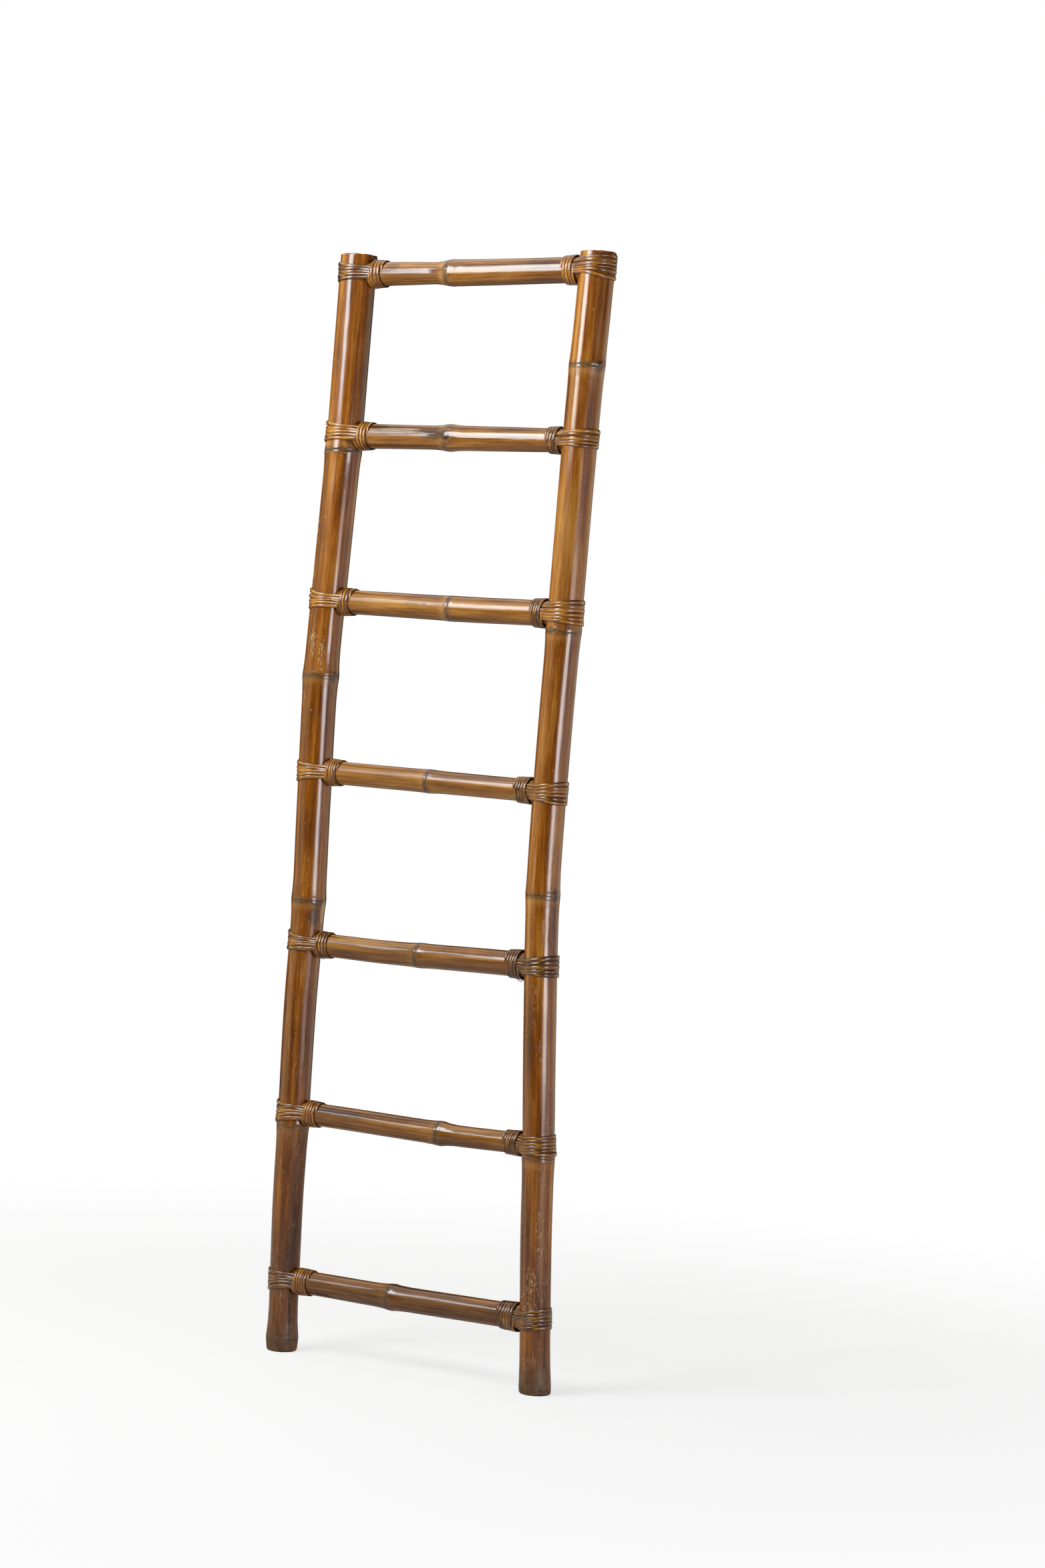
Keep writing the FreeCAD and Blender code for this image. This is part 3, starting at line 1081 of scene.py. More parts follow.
@dataclass
class Rail(Culm):
    """One of the two upright culms."""

    side: Side = Side.RIGHT
    foot_radius: float = 0.0223
    top_radius: float = 0.029
    widening: float = 0.5
    bends: tuple[Pair, ...] = ()
    open_foot: bool = True

    WALL = 0.0055
    SEPTUM = 0.005
    FOOT_EDGE = 0.003
    # Drops of the rim's lowest fibres and of the skin's last ring from the top
    RIM_DROP = 0.0002
    SKIN_DROP = 0.0012
    # Inset, cut mask and depth of the torn fibres, outwards over the rim
    RIM = ((WALL, 1.0, -0.0016), (0.0022, 1.0, -0.0012), (0.0006, 0.6, -0.0012))
    # Inset, cut mask and height, inwards under the foot's edge, and the same of a solid foot's middle
    EDGE = ((0.0007, 0.0, 0.0014), (0.0018, 0.2, 0.0005), (0.0032, 1.0, 0.0))
    SOLID_FOOT = (0.010, 1.0, 0.0004)
    FOOT_LIP = 0.0002
    # How much a hollow narrows, at an open foot's ceiling and in the corner of the top's floor
    CEILING_INSET = 0.0005
    CORNER_INSET = 0.002
    # Heights over the top's floor, and under the rim, of the rings inside
    CORNER = 0.004
    FLOOR_STEP = 0.05
    TEAR_WAVES = (4, 3)

    def base_radius(self, z: float) -> float:
        """Outer radius at a height, without nodes."""
        share = min(1.0, max(0.0, z / HEIGHT)) ** self.widening
        return self.foot_radius + (self.top_radius - self.foot_radius) * share

    def radius(self, z: float) -> float:
        """Outer radius at a height, with the nodes' swellings."""
        return self.base_radius(z) + sum(n.swelling * n.swell(z - n.place) for n in self.nodes)

    def centre(self, z: float) -> float:
        """Place in X of the centre line, a smooth curve through the bends.

        Args:
            z: Height.

        Returns:
            The place.
        """
        last = len(self.bends) - 1
        i = max(k for k in range(last) if k == 0 or self.bends[k][0] <= z)
        (z0, x0), (z1, x1) = self.bends[i], self.bends[i + 1]
        before, after = self.bends[max(i - 1, 0)], self.bends[min(i + 2, last)]
        slope0 = (x1 - before[1]) / (z1 - before[0])
        slope1 = (after[1] - x0) / (after[0] - z0)
        span, t = z1 - z0, (z - z0) / (z1 - z0)
        return (x0 * (2 * t ** 3 - 3 * t ** 2 + 1) + slope0 * span * (t ** 3 - 2 * t ** 2 + t)
                + x1 * (3 * t ** 2 - 2 * t ** 3) + slope1 * span * (t ** 3 - t ** 2))

    def ring(self, z: float, inset: float = 0.0, cut: float = 0.0, ragged: float = 0.0,
             level: Optional[float] = None) -> Ring:
        """Ring of the rail at a height.

        Args:
            z: Height whose outline the ring has.
            inset: Distance inside the skin.
            cut: Mask of a cut surface.
            ragged: Depth of the torn fibres at a cut end, up at the foot and down at the top.
            level: Height at which the ring lies, where it isn't z.

        Returns:
            The ring.
        """
        points, grain, buds = [], [], []
        middle, base = self.centre(z), self.base_radius(z)
        for k in range(self.sides):
            azimuth = 360 * k / self.sides
            turn = math.radians(azimuth)
            radius, bud = self.skin(z, azimuth, base)
            tear = self.ripple(turn, z, self.TEAR_WAVES, self.look.seed)
            height = (z if level is None else level) + ragged * abs(tear)
            flat = Vector((math.cos(turn), math.sin(turn), 0)) * (radius - inset)
            points.append(Vector((middle, 0, height)) + flat)
            grain.append(self.grain_place(flat.normalized() * base, z))
            buds.append(bud)
        return Ring(points, grain, z, cut, self.gap(z), self.tone(z), self.mark(z), buds)

    def foot_ring(self, inset: float, cut: float, level: float) -> Ring:
        """Ring under the foot's edge or inside it; the foot's outline holds for it."""
        return self.ring(self.FOOT_EDGE, inset, cut, 0.0, level)

    def rings(self) -> list[Ring]:
        """Rings from the floor of the top's hollow, over the top, down the skin and into the foot.

        Returns:
            The rings, in order.
        """
        septum = self.nodes[-1].place + self.SEPTUM / 2
        top = HEIGHT - self.RIM_DROP
        inner = [self.ring(septum, self.WALL + self.CORNER_INSET, 1.0)]
        inner += [self.ring(z, self.WALL, 1.0) for z in (septum + self.CORNER, septum + self.FLOOR_STEP,
                                                         (septum + top) / 2, top - self.CORNER)]
        rim = [self.ring(top, inset, cut, ragged, top) for inset, cut, ragged in self.RIM]
        places = self.stations(self.FOOT_EDGE, HEIGHT - self.SKIN_DROP)
        skin = [self.ring(z) for z in reversed(places)]
        edge = [self.foot_ring(*row) for row in self.EDGE]
        if self.open_foot:
            ceiling = self.nodes[0].place - self.SEPTUM / 2
            hollow = [self.foot_ring(self.WALL, 1.0, self.FOOT_LIP),
                      self.foot_ring(self.WALL + self.CEILING_INSET, 1.0, ceiling)]
        else:
            hollow = [self.foot_ring(*self.SOLID_FOOT)]
        return inner + rim + skin + edge + hollow

    def build(self, finish: BambooFinish) -> None:
        """Make the rail and dress it."""
        self.dress(self.rings(), finish, "bamboo_rail")


@dataclass
class Rung(Culm):
    """One of the seven cross culms, cut to saddles that fit the rails."""

    number: int = 1
    heights: Pair = (0.0, 0.0)
    radii: tuple[float, ...] = ()
    rails: tuple[Rail, ...] = ()
    sag: float = 0.0
    sag_place: float = 0.2
    sides: int = 80

    SADDLE_ZONE = 0.045
    STIFF_SHARE = 0.18

    def __post_init__(self) -> None:
        """Work out the centre line."""
        left, right = self.rails
        self.start = Vector((left.centre(self.heights[0]), 0, self.heights[0]))
        self.end = Vector((right.centre(self.heights[1]), 0, self.heights[1]))
        self.axis = (self.end - self.start).normalized()
        self.length = (self.end - self.start).length
        self.top = Vector((-self.axis.z, 0, self.axis.x))

    @property
    def node(self) -> GrowthNode:
        """The rung's growth node."""
        return self.nodes[0]

    def base_radius(self, place: float) -> float:
        """Outer radius without the node.

        Args:
            place: Place along the rung.

        Returns:
            The radius, which steps at the node.
        """
        left, before, _, after, right = self.radii
        reach = self.node.reach
        if place < self.node.place:
            share = min(1.0, place / (self.node.place - reach))
            return left + (before - left) * share
        share = max(0.0, (place - self.node.place - reach) / (self.length - self.node.place - reach))
        return after + (right - after) * share

    def side_radius(self, place: float) -> float:
        """Outer radius without the node, eased from one side of the node to the other.

        Args:
            place: Place along the rung.

        Returns:
            The radius.
        """
        reach = self.node.reach
        if abs(place - self.node.place) >= reach:
            return self.base_radius(place)
        share = ease((place - self.node.place + reach) / (2 * reach))
        low, high = self.base_radius(self.node.place - reach), self.base_radius(self.node.place + reach)
        return low + (high - low) * share

    def bow(self, place: float) -> Vector:
        """How far the centre line hangs under the straight line; nothing near the lashings.

        Args:
            place: Place along the rung.

        Returns:
            The shift of the centre line.
        """
        before = place / self.sag_place
        after = (self.length - place) / (self.length - self.sag_place)
        share = ease((min(before, after) - self.STIFF_SHARE) / (1 - self.STIFF_SHARE))
        return self.top * (-self.sag * share)

    def outward(self, azimuth: float) -> Vector:
        """Direction away from the axis; azimuth 0 is at the front and 90 at the top."""
        turn = math.radians(azimuth)
        return Vector((0, -math.cos(turn), 0)) + self.top * math.sin(turn)

    def saddle(self, azimuth: float, radius: float, rail: Rail) -> float:
        """Place along the rung at which its skin meets a rail.

        Args:
            azimuth: Direction from the rung's axis, in degrees.
            radius: Radius of the rung there.
            rail: The rail.

        Returns:
            The place.
        """
        anchor = self.start if rail.side is Side.LEFT else self.end
        point = anchor + self.outward(azimuth) * radius
        reach = math.sqrt(max(rail.radius(point.z) ** 2 - point.y ** 2, 0.0))
        meeting = rail.centre(point.z) - rail.side.sign * reach
        return (meeting - self.start.x) / self.axis.x

    def pull(self, place: float, azimuth: float, radius: float, first: float, last: float) -> float:
        """How far a point near an end is drawn along the rung, to meet the rail's curve.

        Args:
            place: Place along the rung.
            azimuth: Direction from the axis, in degrees.
            radius: Radius there.
            first: Place at which the straight-cut rung would start.
            last: Place at which it would end.

        Returns:
            The shift along the rung.
        """
        left, right = self.rails
        if place - first < self.SADDLE_ZONE:
            share = 1 - (place - first) / self.SADDLE_ZONE
            return (self.saddle(azimuth, radius, left) - first) * share
        if last - place < self.SADDLE_ZONE:
            share = 1 - (last - place) / self.SADDLE_ZONE
            return (self.saddle(azimuth, radius, right) - last) * share
        return 0.0

    def ring(self, place: float, first: float, last: float) -> Ring:
        """Ring of the rung, drawn to the saddles near its ends.

        Args:
            place: Place along the rung.
            first: Place at which the straight-cut rung would start.
            last: Place at which it would end.

        Returns:
            The ring.
        """
        points, grain, buds = [], [], []
        base = self.side_radius(place)
        for k in range(self.sides):
            azimuth = 360 * k / self.sides
            turn = math.radians(azimuth)
            radius, bud = self.skin(place, azimuth, base)
            along = self.axis * (place + self.pull(place, azimuth, radius, first, last))
            points.append(self.start + along + self.bow(place) + self.outward(azimuth) * radius)
            grain.append(self.grain_place(Vector((math.cos(turn) * base, math.sin(turn) * base, 0)), place))
            buds.append(bud)
        return Ring(points, grain, place, 0.0, self.gap(place), self.tone(place), self.mark(place), buds)

    def build(self, finish: BambooFinish) -> None:
        """Make the rung and dress it.

        Args:
            finish: The finish of the bamboo.
        """
        left, right = self.rails
        first = left.radius(self.start.z)
        last = self.length - right.radius(self.end.z)
        rings = [self.ring(place, first, last) for place in self.stations(first, last)]
        self.dress(rings[::-1], finish, "bamboo_rung")


# Lashings

class Tree:
    """A geometry node tree with named inputs."""

    def __init__(self, name: str, inputs: Mapping[str, tuple[str, Any]]) -> None:
        """Make the tree and its sockets.

        Args:
            name: The tree's name.
            inputs: Socket type and default of each named input.
        """
        self.tree = bpy.data.node_groups.new(name, "GeometryNodeTree")
        self.graph = Graph(self.tree)
        interface = self.tree.interface
        interface.new_socket("Geometry", in_out="INPUT", socket_type="NodeSocketGeometry")
        for label, (kind, default) in inputs.items():
            socket = interface.new_socket(label, in_out="INPUT", socket_type=kind)
            if default is not None:
                socket.default_value = default
        interface.new_socket("Geometry", in_out="OUTPUT", socket_type="NodeSocketGeometry")
        self.source = self.tree.nodes.new("NodeGroupInput")

    def input(self, name: str) -> Value:
        """One of the tree's inputs."""
        return Value(self.graph, self.source.outputs[name])

    def named(self, name: str, kind: str = "FLOAT") -> Value:
        """Attribute of the geometry."""
        return self.graph.add("GeometryNodeInputNamedAttribute", {"data_type": kind}, {"Name": name})

    def store(self, geometry: Value, name: str, value: Value, kind: str = "FLOAT") -> Value:
        """Store a value on the geometry's points.

        Args:
            geometry: The geometry.
            name: Name of the attribute.
            value: What is stored.
            kind: Its data type.

        Returns:
            The geometry with the attribute.
        """
        return self.graph.add("GeometryNodeStoreNamedAttribute", {"data_type": kind, "domain": "POINT"},
                              {"Geometry": geometry, "Name": name, "Value": value})

    def combine(self, x: Number, y: Number, z: Number) -> Value:
        """Vector of three numbers."""
        return self.graph.add("ShaderNodeCombineXYZ", None, {0: x, 1: y, 2: z})

    def face(self, curve: Value, out: Value) -> Value:
        """Give a curve's points the directions that its section faces."""
        return self.graph.add("GeometryNodeSetCurveNormal", {"mode": "FREE"}, {"Curve": curve, "Normal": out})

    def finish(self, geometry: Value) -> None:
        """End the tree with plain, smooth, dressed geometry.

        Args:
            geometry: What the tree has made.
        """
        smooth = self.graph.add("GeometryNodeSetShadeSmooth", None, {0: geometry})
        real = self.graph.add("GeometryNodeRealizeInstances", None, {0: smooth})
        dressed = self.graph.add("GeometryNodeSetMaterial", None,
                                 {"Geometry": real, "Material": self.input("Material")})
        self.graph.add("NodeGroupOutput", None, {0: dressed})

    def apply(self, name: str, mesh: bpy.types.Mesh, values: Mapping[str, Any]) -> bpy.types.Mesh:
        """Run the tree on a mesh.

        Args:
            name: Name of the result.
            mesh: The mesh that the tree starts from.
            values: Values of its inputs, by name.

        Returns:
            The result, as a plain mesh.
        """
        holder = bpy.data.objects.new(f"{name}_path", mesh)
        bpy.context.scene.collection.objects.link(holder)
        modifier = holder.modifiers.new("build", "NODES")
        modifier.node_group = self.tree
        for item in self.tree.interface.items_tree:
            if item.item_type == "SOCKET" and item.in_out == "INPUT" and item.name in values:
                modifier[item.identifier] = values[item.name]
        depsgraph = bpy.context.evaluated_depsgraph_get()
        result = bpy.data.meshes.new_from_object(holder.evaluated_get(depsgraph),
                                                 preserve_all_data_layers=True, depsgraph=depsgraph)
        bpy.data.objects.remove(holder)
        result.name = name
        return result


class StripTree(Tree):
    """Half-round rattan strips swept along paths."""

    SIDES = 14
    CROWN = 0.6
    BELLY = 0.18

    def __init__(self) -> None:
        """Build the tree: the base mesh's edges are the paths, with "out" and "girth" on their points."""
        super().__init__("rattan_strip", {
            "Width": ("NodeSocketFloat", 0.0058),
            "Thickness": ("NodeSocketFloat", 0.0025),
            "Material": ("NodeSocketMaterial", None),
        })
        curve = self.graph.add("GeometryNodeMeshToCurve", None, {0: self.input("Geometry")})
        self.finish(self.swept(self.face(curve, self.named("out", "FLOAT_VECTOR"))))

    def profile(self) -> Value:
        """Half-round section: crowned outside, nearly flat inside, with its place across stored.

        Returns:
            The section's curve.
        """
        graph = self.graph
        circle = graph.add("GeometryNodeCurvePrimitiveCircle", {"mode": "RADIUS"},
                           {"Resolution": self.SIDES, "Radius": 1.0})
        place = graph.add("GeometryNodeInputPosition")
        x = graph.add("ShaderNodeSeparateXYZ", None, {0: place})
        y = x.beside("Y")
        crown = x.math("MAXIMUM", 0.0).math("POWER", self.CROWN) * self.input("Thickness")
        belly = x.math("MINIMUM", 0.0) * self.input("Thickness") * self.BELLY
        shaped = self.combine(crown + belly, y * self.input("Width") * 0.5, 0.0)
        return graph.add("GeometryNodeSetPosition", None,
                         {"Geometry": self.store(circle, "across", y), "Position": shaped})

    def swept(self, curve: Value) -> Value:
        """Sweep the section along curves and store the place along and across as "strip".

        Args:
            curve: The curves, with their normals set and the section's scale as "girth".

        Returns:
            The strips.
        """
        length = self.graph.add("GeometryNodeSplineParameter", output="Length")
        mesh = self.graph.add("GeometryNodeCurveToMesh", None, {
            "Curve": self.store(curve, "along", length),
            "Profile Curve": self.profile(),
            "Scale": self.named("girth"),
            "Fill Caps": True,
        })
        strip = self.combine(self.named("across"), self.named("lane"), self.named("along"))
        return self.store(mesh, "strip", strip, "FLOAT_VECTOR")


class WindingTree(StripTree):
    """One rattan strip wound round a rung, drawn in towards the end away from the rail."""

    RESOLUTION = 48
    # Share of a turn over which each end is tucked in, and how far it goes down and thins
    TUCK = 0.12
    TUCK_DEPTH = 0.9
    TUCK_THIN = 0.45
    # Waves of the wandering in a turn, and its sizes along the rung and away from it
    SWAYS = 1.4
    LIFTS = 2.3
    SWAY = 2.0
    LIFT = 1.2
    LIFT_SEED = 40.0

    def __init__(self) -> None:
        """Build the tree: a spiral along Z, made uneven, then placed."""
        Tree.__init__(self, "rattan_winding", {
            "Turns": ("NodeSocketFloat", 5.0),
            "Pitch": ("NodeSocketFloat", 0.0054),
            "Near radius": ("NodeSocketFloat", 0.022),
            "Far radius": ("NodeSocketFloat", 0.021),
            "Width": ("NodeSocketFloat", 0.0052),
            "Thickness": ("NodeSocketFloat", 0.0019),
            "Wander": ("NodeSocketFloat", 0.0005),
            "Seed": ("NodeSocketFloat", 0.0),
            "Tone": ("NodeSocketFloat", 0.5),
            "Ruddy": ("NodeSocketFloat", 0.0),
            "Reverse": ("NodeSocketBool", False),
            "Place": ("NodeSocketVector", (0.0, 0.0, 0.0)),
            "Turn": ("NodeSocketRotation", None),
            "Material": ("NodeSocketMaterial", None),
        })
        graph = self.graph
        turns = self.input("Turns")
        curve = graph.add("GeometryNodeCurveSpiral", None, {
            "Resolution": self.RESOLUTION,
            "Rotations": turns,
            "Start Radius": self.input("Near radius"),
            "End Radius": self.input("Far radius"),
            "Height": turns * self.input("Pitch"),
            "Reverse": self.input("Reverse"),
        })
        factor = graph.add("GeometryNodeSplineParameter", output="Factor")
        flat = graph.vector("MULTIPLY", graph.add("GeometryNodeInputPosition"), (1, 1, 0))
        out = graph.add("ShaderNodeVectorMath", {"operation": "NORMALIZE"}, {0: flat})
        tuck = (factor * turns).step(self.TUCK, 0.0) + ((1.0 - factor) * turns).step(self.TUCK, 0.0)
        sway = self.wave(factor * turns * self.SWAYS + self.input("Seed"))
        lift = self.wave(factor * turns * self.LIFTS + self.input("Seed") + self.LIFT_SEED)
        axial = sway * self.input("Wander") * self.SWAY
        radial = lift * self.input("Wander") * self.LIFT - tuck * self.input("Thickness") * self.TUCK_DEPTH
        push = graph.add("ShaderNodeVectorMath", {"operation": "SCALE"}, {0: out, "Scale": radial})
        shift = graph.vector("ADD", self.combine(0.0, 0.0, axial), push)
        curve = graph.add("GeometryNodeSetPosition", None,
                          {"Geometry": self.face(curve, out), "Offset": shift})
        for name, value in (("tone", self.input("Tone")), ("ruddy", self.input("Ruddy")),
                            ("lane", self.input("Seed")), ("girth", 1.0 - tuck * self.TUCK_THIN)):
            curve = self.store(curve, name, value)
        self.finish(graph.add("GeometryNodeTransform", None, {
            "Geometry": self.swept(curve),
            "Translation": self.input("Place"),
            "Rotation": self.input("Turn"),
        }))

    def wave(self, place: Value) -> Value:
        """Slow wave along the strip.

        Args:
            place: Place along the strip, in waves.

        Returns:
            The wave, around 0.
        """
        wave = self.graph.add("ShaderNodeTexNoise", {"noise_dimensions": "1D"},
                              {"W": place, "Scale": 1.0, "Detail": 1.0})
        return wave - 0.5


@dataclass(frozen=True)
class Strand:
    """A strand's heights over the rung's axis, in millimetres: at the rail's outer side, beside the rung."""

    outer: float
    near: float


@dataclass(frozen=True)
class Tip:
    """A cut end that sticks out: its joint's height in millimetres, angle round the rail, and length."""

    height: float
    angle: float
    length: float
    girth: float = 0.3


@dataclass(frozen=True)
class Loose:
    """A frayed end or a wire loop under a winding: its ends, from the rail's axis, and how far it hangs."""

    start: float
    end: float
    drop: float
    closed: bool = False
    angle: float = -82.0
    girth: float = 0.22


@dataclass(frozen=True)
class Tie:
    """What tells one lashing from another; the pitch of its winding is in millimetres."""

    turns: float
    pitch: float
    tone: float
    ruddy: float
    collar_tone: float
    collar_ruddy: float
    strands: tuple[Strand, ...]
    tips: tuple[Tip, ...] = ()
    loose: tuple[Loose, ...] = ()


@dataclass
class Lashing:
    """The band and the winding that tie a rung's end to a rail."""

    rail: Rail
    rung: Rung
    tie: Tie
    width: float = 0.0060
    thickness: float = 0.0019
    clear: float = 0.0002

    # Angle from the rail's outer side at which the strands leave it, and the bend's step
    LEAVE = 118.0
    BEND_STEP = 5.0
    # Share of the bend, from the outer side, in which the strands keep their outer heights
    SPREAD_START = 0.15
    # Random ranges of a strand's sway, of its height at the back in millimetres, and of its colour
    SWAY = (0.0002, 0.0005)
    BACK_SHAKE = 0.6
    TONE_SHAKE = 0.1
    RUDDY_SHAKE = 0.15
    # Waves of a strand over the rail's skin and in its width
    LIFT_WAVE = 0.0003
    GIRTH_WAVE = 0.04
    # Waves in a full turn round the rail, of a strand's sway, its lift and its width
    BEND_WAVES = (2.3, 3.1, 4)
    # Half height of a strand, within which the rail's swelling lifts it
    HALF_STRAND = 0.0025
    # Where the tails start off the rail, their steps along the rung, their closeness and their width
    TAIL_START = 0.0035
    TAIL_STEPS = (0.0, 0.005, 0.010, 0.014)
    TAIL_SHARE = 0.92
    TAIL_GIRTH = 0.95
    STEEPEST = 0.95
    # A strand's width over its share of the band's height, and the least and most of it
    OVERLAP = 0.56
    GIRTHS = (0.72, 1.35)
    # Where the winding starts off the rail, and its lifts off the rung at both ends
    WINDING_START = 0.0040
    NEAR_LIFT = 0.0022
    FAR_LIFT = 0.0008
    WINDING_WIDTH = 1.06
    # Shares of a cut end's length at which its path has points; the first are under the skin
    TIP_SHARES = (-0.4, 0.0, 0.5, 1.0)
    TIP_LIFT = 0.0008
    TIP_TAPER = 0.55
    # How far a cut end points down, out of the rail and back along its skin
    TIP_DIP = 0.12
    TIP_OUT = 0.9
    TIP_BACK = 0.35
    TIP_TONE = -0.4
    LOOSE_STEPS = 8
    LOOSE_TONE = -0.2
    LOOSE_RUDDY = 0.2
    LANE_STEP = 3.7

    @property
    def name(self) -> str:
        """The joint's name."""
        return f"{self.rail.side.value}_{self.rung.number}"

    def __post_init__(self) -> None:
        """Work out where the joint is."""
        self.centre = self.rung.start if self.rail.side is Side.LEFT else self.rung.end
        self.inward = self.rung.axis * -self.rail.side.sign
        self.reach = self.rail.radius(self.centre.z)

    def rung_radius(self, distance: float) -> float:
        """Radius of the rung at a distance from the rail's axis."""
        place = distance if self.rail.side is Side.LEFT else self.rung.length - distance
        return self.rung.side_radius(place)

    def on_rail(self, height: float, angle: float, lift: float) -> tuple[Vector, Vector]:
        """Point on the rail and the direction out of it.

        Args:
            height: Height above the rung's axis.
            angle: Angle from the outer side, in degrees; the front is at 90.
            lift: Distance over the rail's skin.

        Returns:
            The point and the direction.
        """
        z = self.centre.z + height
        turn = math.radians(angle)
        out = Vector((self.rail.side.sign * math.cos(turn), -math.sin(turn), 0))
        radius = max(self.rail.radius(z + edge) for edge in (-self.HALF_STRAND, 0.0, self.HALF_STRAND))
        return Vector((self.rail.centre(z), 0, z)) + out * (radius + lift), out

    def on_rung(self, distance: float, angle: float, lift: float) -> tuple[Vector, Vector]:
        """Point on the rung and the direction out of it.

        Args:
            distance: Distance from the rail's axis.
            angle: Angle round the rung; the front is at 0 and the top at 90.
            lift: Distance over the rung's skin.

        Returns:
            The point and the direction.
        """
        out = self.rung.outward(angle)
        return self.centre + self.inward * distance + out * (self.rung_radius(distance) + lift), out

    def girths(self, heights: Sequence[float]) -> list[float]:
        """Widths at which the strands just touch, over the usual width.

        Args:
            heights: Heights of the strands, from the top, in millimetres.

        Returns:
            The scale of each strand.
        """
        least, most = self.GIRTHS
        gaps = [high - low for high, low in zip(heights, heights[1:])]
        gaps = [gaps[0], *gaps, gaps[-1]]
        return [min(most, max(least, self.OVERLAP * (above + below) / 1000 / self.width))
                for above, below in zip(gaps, gaps[1:])]

    def strand_path(self, index: int, outer_girth: float, near_girth: float) -> Path:
        """Path of a strand: tail, bend round the rail, tail.

        Args:
            index: The strand's number in the band.
            outer_girth: Scale of its section outside.
            near_girth: Scale of its section beside the rung.

        Returns:
            Points, directions out and scales of the section.
        """
        strand = self.tie.strands[index]
        shake = random.Random(f"{self.name}_{index}")
        phase, sway = shake.uniform(0, 6.28), shake.uniform(*self.SWAY)
        front = strand.near / 1000
        back = (strand.near + shake.uniform(-self.BACK_SHAKE, self.BACK_SHAKE)) / 1000
        sways, lifts, girths = self.BEND_WAVES
        path = []
        count = int(2 * self.LEAVE / self.BEND_STEP)
        for k in range(count + 1):
            angle = self.LEAVE - 2 * self.LEAVE * k / count
            turn = math.radians(angle)
            share = ease(abs(angle) / self.LEAVE * (1 + self.SPREAD_START) - self.SPREAD_START)
            level = strand.outer / 1000 * (1 - share) + (front if angle > 0 else back) * share
            level += sway * math.sin(turn * sways + phase)
            lift = self.clear + self.LIFT_WAVE * (1 + math.sin(turn * lifts + phase * 2))
            girth = outer_girth + (near_girth - outer_girth) * share
            girth += self.GIRTH_WAVE * math.sin(turn * girths + phase)
            path.append((*self.on_rail(level, angle, lift), girth))
        return self.tail(front, True, near_girth)[::-1] + path + self.tail(back, False, near_girth)

    def tail(self, height: float, front: bool, girth: float) -> Path:
        """End of a strand, along the rung and under the winding.

        Args:
            height: Height of the strand beside the rung.
            front: Whether it lies at the front of the rung.
            girth: Scale of its section.

        Returns:
            Points, directions out and scales of the section, from the rail.
        """
        start = self.reach + self.TAIL_START
        share = height * self.TAIL_SHARE / self.rung_radius(start)
        tilt = math.degrees(math.asin(max(-self.STEEPEST, min(self.STEEPEST, share))))
        angle = tilt if front else 180 - tilt
        return [(*self.on_rung(start + step, angle, 0.0), girth * self.TAIL_GIRTH)
                for step in self.TAIL_STEPS]

    def tip_path(self, tip: Tip) -> Path:
        """Path of a cut end, which leaves the rail and thins out.

        Args:
            tip: The cut end.

        Returns:
            Points, directions of the section and its scales.
        """
        start, out = self.on_rail(tip.height / 1000, tip.angle, self.TIP_LIFT)
        turn = math.radians(tip.angle)
        away = Vector((self.rail.side.sign * math.sin(turn), math.cos(turn), self.TIP_DIP)) * -1.0
        away = (out * self.TIP_OUT + away * self.TIP_BACK).normalized()
        return [(start + away * (tip.length * share), Vector((0, 0, 1)),
                 tip.girth * (1.0 - self.TIP_TAPER * share)) for share in self.TIP_SHARES]

    def loose_path(self, loose: Loose) -> Path:
        """Path of a frayed end, which hangs ever lower, or of a loop, which comes back up.

        Args:
            loose: The frayed end or the loop.

        Returns:
            Points, directions of the section and its scales.
        """
        half_turns = 1.0 if loose.closed else 0.5
        path = []
        for k in range(self.LOOSE_STEPS + 1):
            share = k / self.LOOSE_STEPS
            lift = self.thickness + loose.drop * math.sin(math.pi * half_turns * share)
            point, _ = self.on_rung(loose.start + (loose.end - loose.start) * share, loose.angle, lift)
            path.append((point, Vector((0, -1, 0)), loose.girth))
        return path

    def paths(self) -> list[tuple[Path, float, float]]:
        """All paths of the band.

        Returns:
            Each path with its tone and its ruddiness.
        """
        tie = self.tie
        outer = self.girths([strand.outer for strand in tie.strands])
        near = self.girths([strand.near for strand in tie.strands])
        shake = random.Random(self.name)
        found = [(self.strand_path(k, outer[k], near[k]),
                  tie.tone + shake.uniform(-self.TONE_SHAKE, self.TONE_SHAKE),
                  tie.ruddy + shake.uniform(-self.RUDDY_SHAKE, self.RUDDY_SHAKE))
                 for k in range(len(tie.strands))]
        found += [(self.tip_path(tip), self.TIP_TONE, self.LOOSE_RUDDY) for tip in tie.tips]
        found += [(self.loose_path(loose), self.LOOSE_TONE, self.LOOSE_RUDDY) for loose in tie.loose]
        return found

    def paths_mesh(self) -> bpy.types.Mesh:
        """Mesh whose edges are the band's paths.

        Returns:
            The mesh, with what the strips need on its points.
        """
        points, edges, out = [], [], []
        numbers: dict[str, list[float]] = {"girth": [], "tone": [], "ruddy": [], "lane": []}
        for index, (path, tone, ruddy) in enumerate(self.paths()):
            first = len(points)
            edges += [(first + k, first + k + 1) for k in range(len(path) - 1)]
            for point, direction, girth in path:
                points.append(tuple(point))
                out.append(direction)
                for label, value in zip(numbers, (girth, tone, ruddy, index * self.LANE_STEP)):
                    numbers[label].append(value)
        mesh = bpy.data.meshes.new(f"paths_{self.name}")
        mesh.from_pydata(points, edges, [])
        add_vectors(mesh, "out", out)
        for label, values in numbers.items():
            add_numbers(mesh, label, values)
        return mesh

